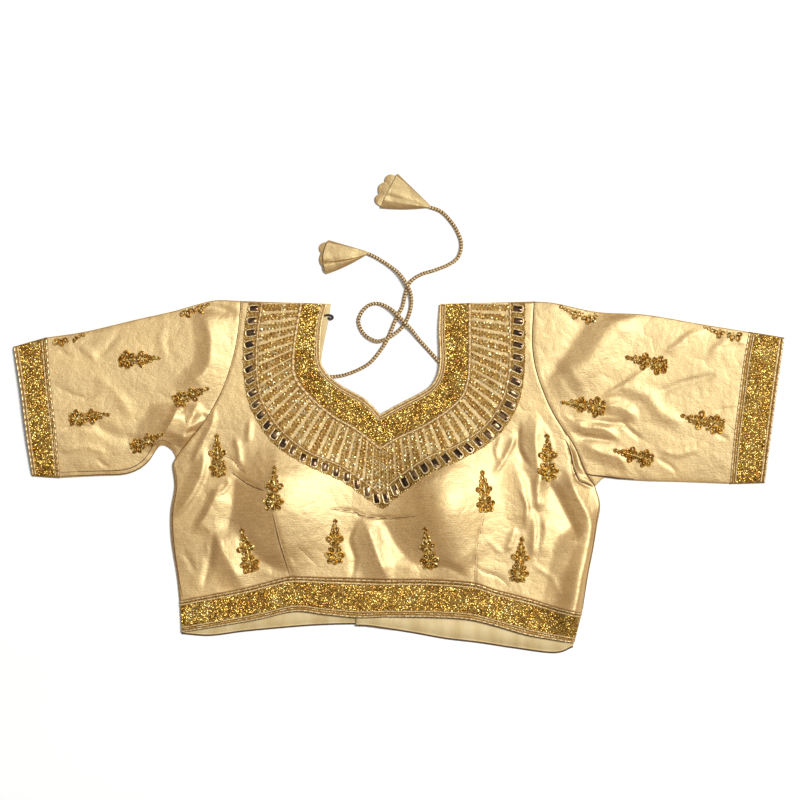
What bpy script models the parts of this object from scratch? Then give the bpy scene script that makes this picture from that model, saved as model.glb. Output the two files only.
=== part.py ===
"""A choli blouse laid flat on a table, seen from above with its neck away from the viewer.

X runs to the viewer's right, Y towards the neck and Z up from the table. The back panels and the
undersides of the sleeves rest on Z = 0, and the front lies on the back. Left and right are the
viewer's. The tables are in millimetres, and the meshes are made in metres.
"""

import math

import bmesh
import bpy
import numpy as np
from mathutils import Vector
from mathutils.bvhtree import BVHTree

MM = 0.001

# Cloth and trim, in millimetres
GAP = 0.35  # between pieces that are sewn together or lie on each other
ARMHOLE_GAP = 0.5
FRONT_WALL = 1.5
BACK_WALL = 1.2
SLEEVE_WALL = 1.2
BAND_THICKNESS = 0.9
PIPING_RADIUS = 1.0
PIPING_DROP = 0.45
NECK_BAND_INSET = 2.2
CORD_RADIUS = 2.0

# How the upper layer lies: low along the outline, with a little loft inside it
EDGE_TOP = 3.0
LOFT_RISE = 3.3
LOFT_REACH = 25.0

# How finely the panels are divided
BODY_ROWS = 11
YOKE_ROWS = 12
HALF_COLUMNS = 14
BACK_ROWS = 4
BACK_COLUMNS = {"left": (-25.5, -44, -62), "right": (-47.5, -17, 1, 22)}  # at X, from the centre out
BACK_SHARES = (0, 0.32, 0.62, 0.88, 1)  # from the last of them to the side or armhole
BACK_NECK_TURN = 40.0  # below this Y the back neck is its low curve
SLEEVE_RINGS = 12
UNDER_STEP = 3  # the underside has a corner at every third corner of the armhole
FOLD_STEPS = 3
BAND_CORNERS = 16

# Seam lines and edges in plan, from the centre outwards or from the hem upwards
HEM_FRONT = {
    "left": [(-14.5, -154.5), (-44, -155.5), (-81.5, -152), (-114.5, -148.5), (-153.5, -157), (-190, -163.5),
             (-239, -171.5)],
    "right": [(-14.5, -154.5), (33.5, -155), (75.5, -157.5), (106.5, -164.5), (143, -175), (192.5, -183.5)],
}
HEM_BAND_TOP = {
    "left": [(-14.5, -114.5), (-44, -113.5), (-80.5, -112.5), (-117.5, -111.5), (-135.5, -115),
             (-172, -124.5), (-208.5, -131.5), (-240.8, -138)],
    "right": [(-14.5, -114.5), (33.5, -114.5), (81, -118), (106.5, -126), (143, -135.5), (179.5, -146.5),
              (200.8, -151)],
}
HEM_BACK = {
    "left": [(-25.5, -162), (-63, -162), (-99, -163.5), (-135.5, -166.5), (-172, -170), (-208, -174.5),
             (-239, -172.5)],
    "right": [(-47.5, -163.5), (-30, -164.5), (15, -171.5), (51.5, -178), (89, -182.5), (125, -188),
              (170.5, -193.5), (191, -187)],
}
SIDE = {
    "left": [(-244, -109), (-250, -71.5), (-251, -40.5), (-246, -11), (-249.5, 16.5)],
    "right": [(202.5, -142), (207.5, -111), (213.5, -80.5), (217.5, -55), (221, -32), (215.5, -11)],
}
ARMHOLE = {
    "left": [(-249.5, 16.5), (-234.5, 35), (-216, 57), (-202, 79.5), (-192.5, 99), (-185, 121), (-179.5, 143),
             (-176, 166), (-174, 192.5)],
    "right": [(215.5, -11), (205.5, 3.5), (195.5, 27.5), (188, 40.5), (172, 64.5), (160.5, 88),
              (150.5, 117.5), (146.5, 147.5), (148.5, 192)],
}
NECK_FRONT = {
    "left": [(-21, 65.5), (-38.5, 83), (-64.5, 98), (-80, 111), (-88, 125.5), (-88.5, 149.5), (-86.5, 169.5),
             (-81.5, 188.5)],
    "right": [(-21, 65.5), (-1.5, 76.5), (30.5, 93.5), (42, 106.5), (46.5, 125.5), (45.5, 160.5),
              (46.5, 188.5)],
}
NECK_BACK = [
    (-75, 189.5), (-77, 174), (-81, 155), (-84.5, 136.5), (-86, 122), (-86.5, 108), (-88, 89), (-82.5, 50.5),
    (-59.5, 12), (-15.5, -4.5), (19.5, 8), (43.5, 38), (52, 72.5), (51.5, 100), (47.5, 121), (45.5, 138.5),
    (44.5, 160.5), (46, 189.5),
]
# Outer lines of the neck's embroidery, from the point at the centre to the shoulder
BAND_LINES = {
    "neck_band": {
        "left": [(-21, 29.5), (-47, 50.5), (-73, 65.5), (-99, 87.5), (-115.5, 111), (-115.5, 144),
                 (-108, 187)],
        "right": [(-21, 29.5), (-1.5, 41.5), (31.5, 57), (64, 80.5), (75, 100.5), (78, 128.5), (78, 187)],
    },
    "beadwork": {
        "left": [(-21, -21.5), (-38.5, -8.5), (-64.5, 9), (-103.5, 26.5), (-132, 50.5), (-151.5, 80.5),
                 (-158, 111), (-158, 150.5), (-152.5, 187)],
        "right": [(-21, -21.5), (-1.5, -4), (31.5, 18.5), (64, 32), (94.5, 52.5), (114, 80.5), (122.5, 111),
                  (124, 150), (124, 187)],
    },
    "mirrors": {
        "left": [(-17.5, -36.5), (-36, -24), (-62.5, -5.5), (-101.5, 12), (-137, 35), (-160, 68), (-170, 103),
                 (-171, 150.5), (-165.5, 187.5)],
        "right": [(-17.5, -36.5), (4, -18), (36, 4.5), (72, 20), (106, 42), (128, 72), (137, 108),
                  (138.5, 150), (138.5, 187.5)],
    },
}

# Sleeves: the folds from the armhole to the cuff, and the cuff's seam and edge from lower to upper fold
SLEEVE = {
    "left": {
        "upper": [(-196.5, 193.5), (-212, 191.5), (-249.5, 181), (-287.5, 172.5), (-344.5, 159)],
        "lower": [(-263, 33), (-278, 13), (-299, 2), (-333, 0)],
        "cuff_seam": [(-373, -2), (-377, 50), (-383, 101), (-387, 152.5)],
        "cuff_edge": [(-403, 0), (-410, 48), (-416, 95), (-424, 142)],
    },
    "right": {
        "upper": [(172, 190), (217.5, 180.5), (270.5, 177.5), (329.5, 167.5)],
        "lower": [(227, -1.5), (243, -3.5), (270.5, -5.5), (309.5, -6.5)],
        "cuff_seam": [(363.5, -8.5), (367.5, 39), (373.5, 88), (378.5, 127), (384.5, 158.5)],
        "cuff_edge": [(402, -7.5), (408, 38.5), (413.5, 82), (418.5, 117), (423.5, 152)],
    },
}

# The embroidered borders of hem and cuffs, across their width: a raised piping cord along each edge
BORDER_COLUMNS = ("share", "raised")
BORDER_SECTION = [(0, 0.2), (0.055, 1.0), (0.13, 0.4), (0.5, 0.6), (0.87, 0.4), (0.945, 1.0), (1, 0.2)]

# The padded cups: centre, height above the cloth round them, and reach
CUP_COLUMNS = ("x", "y", "height", "reach_x", "reach_y")
CUPS = [(-124, -30, 15, 50, 52), (82, -32, 15, 50, 52)]
# Soft folds, each a ridge, or a trough where its height is negative, from (x0, y0) to (x1, y1)
FOLD_COLUMNS = ("x0", "y0", "x1", "y1", "height", "width")
DARTS = [(-118, -112, -139, -38, -1.6, 7), (80, -117.5, 93.5, -42, -1.6, 7)]
FRONT_FOLDS = [
    (-210, -15, -238, -56, 2.4, 11),
    (-180, 6, -192, -70, 2.4, 10),
    (-203, -62, -186, -122, 2.0, 11),
    (-192, 26, -152, -14, -1.6, 9),
    (-48, -50, -6, -108, 2.6, 13),
    (-74, -38, -20, -44, -1.0, 8),
    (-20, -44, 14, -46, -1.0, 8),
    (132, 44, 108, 4, 2.4, 10),
    (153, -8, 141, -44, 2.8, 11),
    (141, -44, 147, -92, 2.4, 11),
    (174, -6, 178, -92, 2.4, 13),
    (197, -6, 206, -70, 2.0, 11),
]
SLEEVE_FOLDS = {
    "left": [
        (-210, 178, -206, 139, 2.0, 14),
        (-206, 139, -223, 90, 2.0, 14),
        (-272, 50, -236, 72, -1.3, 10),
        (-232, 52, -256, 38, 1.6, 9),
        (-330, 20, -300, 40, 1.2, 11),
    ],
    "right": [
        (222, 172, 176, 116, 2.0, 13),
        (330, 150, 236, 90, 1.6, 11),
        (256, 90, 296, 70, 1.4, 11),
        (186, 48, 242, 40, 1.8, 10),
        (196, 28, 248, 8, 1.6, 10),
    ],
}

# Flower sprigs: the middle of each, the way its tip points in degrees, and its length
SPRIG_COLUMNS = ("x", "y", "angle", "length")
SPRIGS = {
    "front": [
        (-199.5, 23, 92, 48), (-137.5, -13, 88, 50), (-167.5, -81.5, 104, 50), (-70.5, -71.5, 90, 50),
        (93.5, -16.5, 96, 47), (31.5, -79, 98, 47), (163.5, 21, 92, 52), (133, -91.5, 84, 51),
    ],
    "left": [(-285, 128.5, 3, 47), (-228, 89, 22, 42), (-340, 65, 8, 46), (-276.5, 38.5, 24, 40)],
    "right": [(271.5, 125.5, 166, 48), (202, 78, 172, 50), (333, 60.5, 166, 50), (257, 23, 164, 46)],
}
# A sprig's outline, in shares of its length: a wide flower at the foot, a smaller one, and a beaded tip
OUTLINE_COLUMNS = ("share", "half_width")
SPRIG_OUTLINE = [(0, 0.10), (0.10, 0.21), (0.28, 0.24), (0.42, 0.12), (0.56, 0.19), (0.70, 0.11),
                 (0.86, 0.06), (1, 0.03)]
SPRIG_EDGE = 0.6
SPRIG_CROWN = 1.5

# Beads and mirrors round the neck, counted on each half
BEAD_ROWS = 24
BEAD_ROW_RAISE = 0.7
BEADWORK_SHARES = (0, 0.33, 0.67, 1)
MIRRORS = 22
MIRROR_RAISE = 1.1
MIRROR_SLOPE = 0.16  # share of a mirror's place that each of its sloping sides takes
MIRROR_SHARES = (0, 0.16, 0.84, 1)
SCALLOP_DEPTH = 1.6

# Tie cords, from their cloth ends to the back neck: (x, y, z), chosen by hand
CORD_ROUTES = {
    "left": [
        (32.6, 296.1, 2.4), (46, 291, 2.1), (57, 280, 2), (65, 267, 2), (68.5, 254, 2), (65, 241, 2),
        (55.5, 233, 2), (39.5, 226.5, 2), (25, 222, 2), (15, 216, 2), (10, 209.5, 2), (6.5, 199, 2),
        (3.5, 186, 2), (-3.5, 172.5, 2), (-12.5, 151, 2), (-20.5, 138, 2), (-31.5, 125, 2), (-44.5, 117, 2),
        (-60.5, 111, 2), (-75, 109, 2), (-85.7, 108, 2),
    ],
    "right": [
        (-34.6, 244.9, 2.4), (-22, 238.5, 2.2), (-9, 230, 3.2), (0.5, 222, 5.2), (8.5, 210.5, 6.8),
        (13, 199, 4.6), (13, 186, 2.2), (8.5, 171.5, 2), (0.5, 160.5, 3.8), (-12.5, 151.5, 6.8),
        (-25, 148.5, 4.4), (-38, 155.5, 2.2), (-44.5, 168.5, 2), (-41.5, 179.5, 2), (-33, 188, 2),
        (-22, 189.5, 2.8), (-10.5, 184.5, 5.2), (-1.7, 177, 6.8), (5.8, 169, 6.9), (13.5, 161, 5.0),
        (23, 149, 2.6), (36, 134.5, 2), (45.0, 124.3, 2),
    ],
}
CORD_STEP = 8.0
CORD_CLEARANCE = 0.05  # above the table

# Folded cloth ends of the cords, and their sections from neck to mouth
LATKANS = {
    "left": {"neck": (32.2, 296.2), "mouth": (-10.5, 314), "half_width": 21.0, "petal": 10.0},
    "right": {"neck": (-36.0, 245.2), "mouth": (-79, 240.8), "half_width": 18.8, "petal": 8.0},
}
LATKAN_COLUMNS = ("share", "width", "half_height")
LATKAN_SECTIONS = [(0, 0.13, 2.4), (0.2, 0.28, 3.0), (0.5, 0.58, 3.9), (0.8, 0.86, 4.6), (1, 1, 4.4)]
LATKAN_SIDES = 12
PETALS = 3
PETAL_STEPS = 4
PETAL_COLUMNS = ("share", "top", "under")
PETAL_SECTION = [(0, 5.6, 1.6), (0.5, 4.4, 1.0), (1, 2.4, 0.3)]
PETAL_DIP = 1.2  # how far the top comes down between petals

# Fastenings
STRAP_HOOK = [(-81, 176.2), (-77, 177.2), (-72.6, 176.6), (-71.2, 174), (-73.4, 171.8), (-76, 172.6)]
STRAP_HOOK_RADIUS = 0.7
BACK_HOOKS = {"count": 4, "x": -37.0, "first_y": -30.0, "pitch": -32.0, "size": (9.0, 5.0, 0.6)}
BACK_LIFT = 2.4  # how high the right back half lies over the left one and its hooks
BACK_RAMP = (-17.0, 1.0)  # where along X it comes down to the table

# Base colour, roughness and metallic value of each material
MATERIALS = {
    "silk": ((0.72, 0.50, 0.24, 1), 0.38, 0.3),
    "lining": ((0.72, 0.60, 0.36, 1), 0.75, 0.0),
    "sequins": ((0.50, 0.29, 0.06, 1), 0.32, 0.8),
    "beadwork": ((0.62, 0.42, 0.14, 1), 0.35, 0.7),
    "mirrors": ((0.42, 0.36, 0.26, 1), 0.12, 0.9),
    "piping": ((0.74, 0.53, 0.25, 1), 0.45, 0.4),
    "cord": ((0.56, 0.36, 0.14, 1), 0.5, 0.4),
    "hook_metal": ((0.05, 0.04, 0.05, 1), 0.3, 1.0),
}


def rows_of(columns, table):
    """The rows of a table, each with its named columns."""
    return [dict(zip(columns, row)) for row in table]


def at_shares(line, shares):
    """The points at the given shares of a line's length."""
    along = np.concatenate([[0], np.cumsum(np.linalg.norm(np.diff(line, axis=0), axis=1))])
    places = np.array(shares) * along[-1]
    return np.stack([np.interp(places, along, line[:, k]) for k in range(line.shape[1])], axis=1)


def resample(line, count):
    """The same line as count points, evenly spaced along it."""
    return at_shares(line, np.linspace(0, 1, count))


def spline(points, count):
    """A smooth curve through the points, as count points evenly spaced along it."""
    knots = np.array(points, float)
    ends = np.vstack([2 * knots[0] - knots[1], knots, 2 * knots[-1] - knots[-2]])
    t = np.linspace(0, 1, 16, endpoint=False)[:, None]
    fine = []
    for before, start, end, after in zip(ends, ends[1:], ends[2:], ends[3:]):
        slope = end - before
        bend = 2 * before - 5 * start + 4 * end - after
        twist = 3 * (start - end) + after - before
        fine.append(start + (slope * t + bend * t**2 + twist * t**3) / 2)
    return resample(np.vstack(fine + [knots[-1:]]), count)


def both_halves(left, right):
    """One line from the left end of one half to the right end of the other."""
    return np.vstack([left[::-1], right[1:]])


def shifted(line, distance):
    """A plan line moved sideways, with mitred corners: to its left for a positive distance."""
    steps = np.diff(line, axis=0)
    steps /= np.linalg.norm(steps, axis=1)[:, None]
    normals = np.stack([-steps[:, 1], steps[:, 0]], axis=1)
    before = np.vstack([normals[:1], normals])
    after = np.vstack([normals, normals[-1:]])
    middle = before + after
    return line + distance * middle * (2 / (middle**2).sum(axis=1))[:, None]


def outward(side):
    """1 on the right, where outwards is +X, and -1 on the left."""
    return 1 if side == "right" else -1


def sleeve_fold(side, which, start, end):
    """The sleeve's upper or lower fold as a smooth line between two given points."""
    return spline([tuple(start)] + SLEEVE[side][which] + [tuple(end)], SLEEVE_RINGS)


def outline_lines():
    """The folded and seamed edges of the blouse, where its upper layer comes down to the lower one."""
    lines = [np.array([NECK_FRONT[side][-1], ARMHOLE[side][-1]], float) for side in SLEEVE]
    for side, sleeve in SLEEVE.items():
        for which, end, corner in (("upper", -1, -1), ("lower", 0, 0)):
            edge = sleeve["cuff_edge"][end]
            lines.append(sleeve_fold(side, which, ARMHOLE[side][corner], edge))
        lines.append(spline([HEM_FRONT[side][-1]] + SIDE[side], 16))
    return lines


def distance_to(lines, x, y):
    """How far each plan point is from the nearest of several lines."""
    points = np.stack([np.ravel(x), np.ravel(y)], axis=1)
    nearest = np.full(len(points), np.inf)
    for line in lines:
        for start, end in zip(line, line[1:]):
            along = end - start
            share = np.clip((points - start) @ along / (along @ along), 0, 1)
            nearest = np.minimum(nearest, np.linalg.norm(points - start - share[:, None] * along, axis=1))
    return nearest.reshape(np.shape(x))


OUTLINE = outline_lines()


def loft(x, y):
    """The top of the upper layer where no fold or cup raises it."""
    return EDGE_TOP + LOFT_RISE * (1 - np.exp(-distance_to(OUTLINE, x, y) / LOFT_REACH))


def folds_at(table, x, y):
    """The sum of straight soft ridges and troughs, each fading out at its ends and near the outline."""
    height = np.zeros(np.shape(x))
    for fold in rows_of(FOLD_COLUMNS, table):
        run_x, run_y = fold["x1"] - fold["x0"], fold["y1"] - fold["y0"]
        length = math.hypot(run_x, run_y)
        along = ((x - fold["x0"]) * run_x + (y - fold["y0"]) * run_y) / length
        across = ((y - fold["y0"]) * run_x - (x - fold["x0"]) * run_y) / length
        past = np.maximum(0, np.maximum(-along, along - length))
        height = height + fold["height"] * np.exp(-(across**2 + past**2) / fold["width"] ** 2)
    return height * (1 - np.exp(-distance_to(OUTLINE, x, y) / 10))


def front_top(x, y):
    """The top of the front, with its cups, darts and folds."""
    height = loft(x, y) + folds_at(FRONT_FOLDS + DARTS, x, y)
    for cup in rows_of(CUP_COLUMNS, CUPS):
        away = ((x - cup["x"]) / cup["reach_x"]) ** 2 + ((y - cup["y"]) / cup["reach_y"]) ** 2
        height = height + cup["height"] * np.exp(-away)
    return height


def sleeve_top(side, x, y):
    """The top of a sleeve, with its folds."""
    return loft(x, y) + folds_at(SLEEVE_FOLDS[side], x, y)


def patch(inner, outer, bottom, top, rows=None):
    """Plan points of a four-sided panel, [row, column], between its two side lines and its two end lines."""
    v = (np.linspace(0, 1, len(inner)) if rows is None else np.array(rows))[:, None, None]
    u = np.linspace(0, 1, len(bottom))[None, :, None]
    ruled = (1 - u) * inner[:, None] + u * outer[:, None]
    bottom_bend = bottom - ((1 - u[0]) * bottom[0] + u[0] * bottom[-1])
    top_bend = top - ((1 - u[0]) * top[0] + u[0] * top[-1])
    return ruled + (1 - v) * bottom_bend + v * top_bend


def with_height(plan, height):
    """Plan points with a height, which is one number or a grid of them."""
    heights = np.broadcast_to(np.asarray(height, float), plan.shape[:-1])
    return np.concatenate([plan, heights[..., None]], axis=-1)


def material(name):
    """The named material, made once."""
    made = bpy.data.materials.get(name)
    if made is None:
        colour, roughness, metallic = MATERIALS[name]
        made = bpy.data.materials.new(name)
        made.use_nodes = True
        shader = made.node_tree.nodes["Principled BSDF"]
        shader.inputs["Base Color"].default_value = colour
        shader.inputs["Roughness"].default_value = roughness
        shader.inputs["Metallic"].default_value = metallic
    return made


def add_object(name, data, material_name, collection):
    """A new object of the part, with its material."""
    data.materials.append(material(material_name))
    obj = bpy.data.objects.new(name, data)
    collection.objects.link(obj)
    return obj


def mesh_from(bm, name):
    """A smooth-shaded mesh with the bmesh's faces turned outwards."""
    bmesh.ops.recalc_face_normals(bm, faces=bm.faces)
    mesh = bpy.data.meshes.new(name)
    bm.to_mesh(mesh)
    bm.free()
    mesh.shade_smooth()
    mesh.set_sharp_from_angle(angle=math.radians(40))
    return mesh


def add_grid(bm, points, ring=False):
    """Adds a grid of points, in millimetres, with its faces. In a ring, the last column joins the first."""
    verts = [[bm.verts.new(Vector(point) * MM) for point in row] for row in points]
    columns = len(verts[0])
    for low, high in zip(verts, verts[1:]):
        for i in range(columns if ring else columns - 1):
            j = (i + 1) % columns
            bm.faces.new((low[i], low[j], high[j], high[i]))
    return verts


def bridge(bm, outer, inner, closed):
    """Joins two lines of as many vertices."""
    for i in range(len(outer) if closed else len(outer) - 1):
        j = (i + 1) % len(outer)
        bm.faces.new((outer[i], outer[j], inner[j], inner[i]))


def panel(name, grids, wall, material_name, collection):
    """A panel of cloth: its upper surface as grids that share edges, given its wall downwards."""
    bm = bmesh.new()
    for points in grids:
        add_grid(bm, points)
    bmesh.ops.remove_doubles(bm, verts=bm.verts, dist=0.01 * MM)
    for face in bm.faces:
        face.normal_update()
        if face.normal.z < 0:
            face.normal_flip()
    mesh = bpy.data.meshes.new(name)
    bm.to_mesh(mesh)
    bm.free()
    mesh.shade_smooth()
    obj = add_object(name, mesh, material_name, collection)
    solidify = obj.modifiers.new("cloth wall", "SOLIDIFY")
    solidify.thickness = wall * MM
    solidify.offset = -1
    solidify.use_even_offset = True
    return obj


def relief(name, plan, top, under, material_name, collection):
    """A closed piece over plan points, between a raised top and a plain underside."""
    bm = bmesh.new()
    rims = []
    for grid in (add_grid(bm, with_height(plan, top)), add_grid(bm, with_height(plan, under))):
        right = [row[-1] for row in grid[1:-1]]
        left = [row[0] for row in grid[1:-1]]
        rims.append(grid[0] + right + grid[-1][::-1] + left[::-1])
    bridge(bm, *rims, closed=True)
    return add_object(name, mesh_from(bm, name), material_name, collection)


def open_tube(name, outer, inner, material_name, collection):
    """A cloth tube that is open at both ends, between rings of outer and inner points."""
    bm = bmesh.new()
    outside, inside = add_grid(bm, outer, ring=True), add_grid(bm, inner, ring=True)
    for end in (0, -1):
        bridge(bm, outside[end], inside[end], closed=True)
    return add_object(name, mesh_from(bm, name), material_name, collection)


def stuffed(name, rings, material_name, collection):
    """A closed solid through rings of points, with flat ends."""
    bm = bmesh.new()
    verts = add_grid(bm, rings, ring=True)
    for end in (0, -1):
        bm.faces.new(verts[end])
    return add_object(name, mesh_from(bm, name), material_name, collection)


def cord(name, line, radius, material_name, collection):
    """A round cord through the line's points."""
    curve = bpy.data.curves.new(name, "CURVE")
    curve.dimensions = "3D"
    route = curve.splines.new("POLY")
    route.points.add(len(line) - 1)
    for point, place in zip(route.points, line):
        point.co = (*(Vector(place) * MM), 1)
    curve.bevel_depth = radius * MM
    curve.bevel_resolution = 2
    curve.use_fill_caps = True
    return add_object(name, curve, material_name, collection)


class Surface:
    """The outside of a finished piece, for laying others on it."""

    def __init__(self, obj):
        bpy.context.view_layer.update()
        self.tree = BVHTree.FromObject(obj, bpy.context.evaluated_depsgraph_get())

    def top(self, x, y):
        """The height of the piece at a plan point, or of the point nearest to it past its edge."""
        above = Vector((x * MM, y * MM, 50 * MM))
        place = self.tree.ray_cast(above, Vector((0, 0, -1)))[0]
        if place is None:
            place = self.tree.find_nearest(above)[0]
        return place.z / MM

    def tops(self, plan):
        return np.array([[self.top(*point) for point in row] for row in plan])

    def under_side(self, plan):
        """Heights just clear of the piece at every plan point, higher where it bulges between them."""
        heights = self.tops(plan)
        rows, columns = heights.shape
        raised = np.zeros((rows, columns))
        for down, right in ((0, 1), (1, 0), (1, 1)):
            here = (slice(0, rows - down), slice(0, columns - right))
            there = (slice(down, rows), slice(right, columns))
            middles = self.tops((plan[here] + plan[there]) / 2)
            bulge = np.maximum(0, middles - (heights[here] + heights[there]) / 2)
            raised[here] = np.maximum(raised[here], bulge)
            raised[there] = np.maximum(raised[there], bulge)
        return heights + raised + GAP


def make_front(collection):
    """The front, from the hem band to the shoulders, in two halves that meet at the centre line."""
    grids = []
    for side in ("left", "right"):
        neck = spline(NECK_FRONT[side], YOKE_ROWS + 1)
        seam = spline(HEM_BAND_TOP[side], HALF_COLUMNS + 1) + (0, GAP)
        centre = resample(np.array([seam[0], neck[0]]), BODY_ROWS + 1)
        side_line = spline([tuple(seam[-1])] + SIDE[side], BODY_ROWS + 1)
        armhole = spline(ARMHOLE[side], YOKE_ROWS + 1)
        inner = np.vstack([centre, neck[1:]])
        outer = np.vstack([side_line, armhole[1:]])
        shoulder = resample(np.array([neck[-1], armhole[-1]]), HALF_COLUMNS + 1)
        plan = patch(inner, outer, seam, shoulder)
        grids.append(with_height(plan, front_top(plan[..., 0], plan[..., 1])))
    return panel("front_panel", grids, FRONT_WALL, "silk", collection)


def make_hem_band(collection):
    """The embroidered border along the hem of the front."""
    lines = [both_halves(*(spline(edge[side], HALF_COLUMNS + 1) for side in ("left", "right")))
             for edge in (HEM_FRONT, HEM_BAND_TOP)]
    section = rows_of(BORDER_COLUMNS, BORDER_SECTION)
    plan = np.stack([(1 - row["share"]) * lines[0] + row["share"] * lines[1] for row in section])
    raised = np.array([row["raised"] for row in section])[:, None]
    tops = front_top(plan[..., 0], plan[..., 1])
    relief("hem_band_front", plan, tops + raised, tops - FRONT_WALL, "sequins", collection)


def points_at(line, places, side):
    """The points of a plan line at the given X places. The line runs outwards on its side."""
    heading = outward(side)
    y = np.interp(heading * np.array(places), heading * line[:, 0], line[:, 1])
    return np.stack([places, y], axis=1)


def make_back(side, collection):
    """One half of the back, flat on the table. The right half laps over the left one at the centre."""
    places = BACK_COLUMNS[side]
    neck = spline(NECK_BACK, 160)[:: outward(side)]
    low_neck = points_at(neck[neck[:, 1] < BACK_NECK_TURN], places, side)
    high_neck = neck[outward(side) * (neck[:, 0] - places[-1]) > 0]
    high_neck = resample(np.vstack([low_neck[-1:], high_neck]), YOKE_ROWS + 1)
    hem = spline(HEM_BACK[side], 60)
    low_hem = points_at(hem, places, side)
    far_hem = hem[outward(side) * (hem[:, 0] - places[-1]) > 0]
    armhole = resample(spline(ARMHOLE[side], YOKE_ROWS + 1)[::UNDER_STEP], YOKE_ROWS + 1)
    across = at_shares(np.array([high_neck[0], armhole[0]]), BACK_SHARES)
    bottom = np.vstack([low_hem, at_shares(np.vstack([low_hem[-1:], far_hem]), BACK_SHARES)[1:]])
    top = np.vstack([low_neck, across[1:]])
    centre = resample(np.array([bottom[0], top[0]]), BACK_ROWS + 1)
    side_line = spline([tuple(bottom[-1])] + SIDE[side], BACK_ROWS + 1)
    shoulder = at_shares(np.array([high_neck[-1], armhole[-1]]), BACK_SHARES)
    grids = []
    for plan in (patch(centre, side_line, bottom, top), patch(high_neck, armhole, across, shoulder)):
        lift = np.interp(plan[..., 0], BACK_RAMP, (BACK_LIFT, 0)) if side == "right" else 0
        grids.append(with_height(plan, BACK_WALL + lift))
    panel(f"back_{side}", grids, BACK_WALL, "lining", collection)


def flat_ring(line, tops, wall, raised):
    """One ring of a flattened tube: over its upper side, round one fold, back under it and round the other.

    The ring lies a wall's thickness inside the tube. Its upper side and its folds may be raised.
    """
    middle = (EDGE_TOP + raised) / 2
    radius = middle - wall
    folds = []
    for end, beside in ((line[-1], line[-2]), (line[0], line[1])):
        inwards = (beside - end) / np.linalg.norm(beside - end)
        centre = end + inwards * EDGE_TOP / 2
        turns = [math.pi * (0.5 - step / FOLD_STEPS) for step in range(FOLD_STEPS + 1)]
        folds.append([(*(centre - inwards * radius * math.cos(turn)), middle + radius * math.sin(turn))
                      for turn in turns])
    over = [(*point, top + raised - wall) for point, top in zip(line[1:-1], tops[1:-1])]
    under = [(*point, wall) for point in line[UNDER_STEP:-1:UNDER_STEP]]
    return over + folds[0] + under[::-1] + folds[1][::-1]


def make_sleeve(side, collection):
    """A flattened sleeve, and its cuff band. Both are open tubes."""
    sleeve = SLEEVE[side]
    armhole = shifted(spline(ARMHOLE[side], YOKE_ROWS + 1), -outward(side) * ARMHOLE_GAP)
    seam = spline(sleeve["cuff_seam"], YOKE_ROWS + 1)
    lower = sleeve_fold(side, "lower", armhole[0], seam[0])
    upper = sleeve_fold(side, "upper", armhole[-1], seam[-1])
    plan = patch(lower, upper, armhole, seam)
    tops = sleeve_top(side, plan[..., 0], plan[..., 1])
    outer = [flat_ring(line, top, 0, 0) for line, top in zip(plan, tops)]
    inner = [flat_ring(line, top, SLEEVE_WALL, 0) for line, top in zip(plan, tops)]
    tube = open_tube(f"sleeve_{side}", outer, inner, "silk", collection)

    section = rows_of(BORDER_COLUMNS, BORDER_SECTION)
    shares = [row["share"] for row in section]
    seam = shifted(seam, -outward(side) * GAP)
    edge = spline(sleeve["cuff_edge"], YOKE_ROWS + 1)
    lower = at_shares(np.array([seam[0], edge[0]]), shares)
    upper = at_shares(np.array([seam[-1], edge[-1]]), shares)
    plan = patch(lower, upper, seam, edge, rows=shares)
    tops = sleeve_top(side, plan[..., 0], plan[..., 1])
    outer = [flat_ring(line, top, 0, row["raised"]) for line, top, row in zip(plan, tops, section)]
    inner = [flat_ring(line, top, SLEEVE_WALL, 0) for line, top in zip(plan, tops)]
    open_tube(f"cuff_{side}", outer, inner, "sequins", collection)
    return tube


def band_line(name, stations):
    """A line of the neck's embroidery from shoulder to shoulder, with stations on each half."""
    line = NECK_FRONT if name == "neck" else BAND_LINES[name]
    corners = both_halves(*(spline(line[side], BAND_CORNERS + 1) for side in ("left", "right")))
    if name == "neck":
        corners = shifted(corners, -NECK_BAND_INSET)
    halves = [corners[: BAND_CORNERS + 1][::-1], corners[BAND_CORNERS:]]
    return both_halves(*(at_shares(half, stations) for half in halves))


def strip(inner_name, outer_name, stations, shares, trim=0.0):
    """Plan points of a strip of embroidery, [station, across], clear of its neighbours.

    trim is how far the strip stops short of its outer line, one number or one for each station.
    """
    inner, outer = band_line(inner_name, stations), band_line(outer_name, stations)
    width = np.linalg.norm(outer - inner, axis=1)[:, None]
    across = (outer - inner) / width
    start = inner + across * GAP / 2
    reach = width[:, 0] - GAP - trim
    return np.stack([start + across * (share * reach)[:, None] for share in shares], axis=1)


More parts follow.
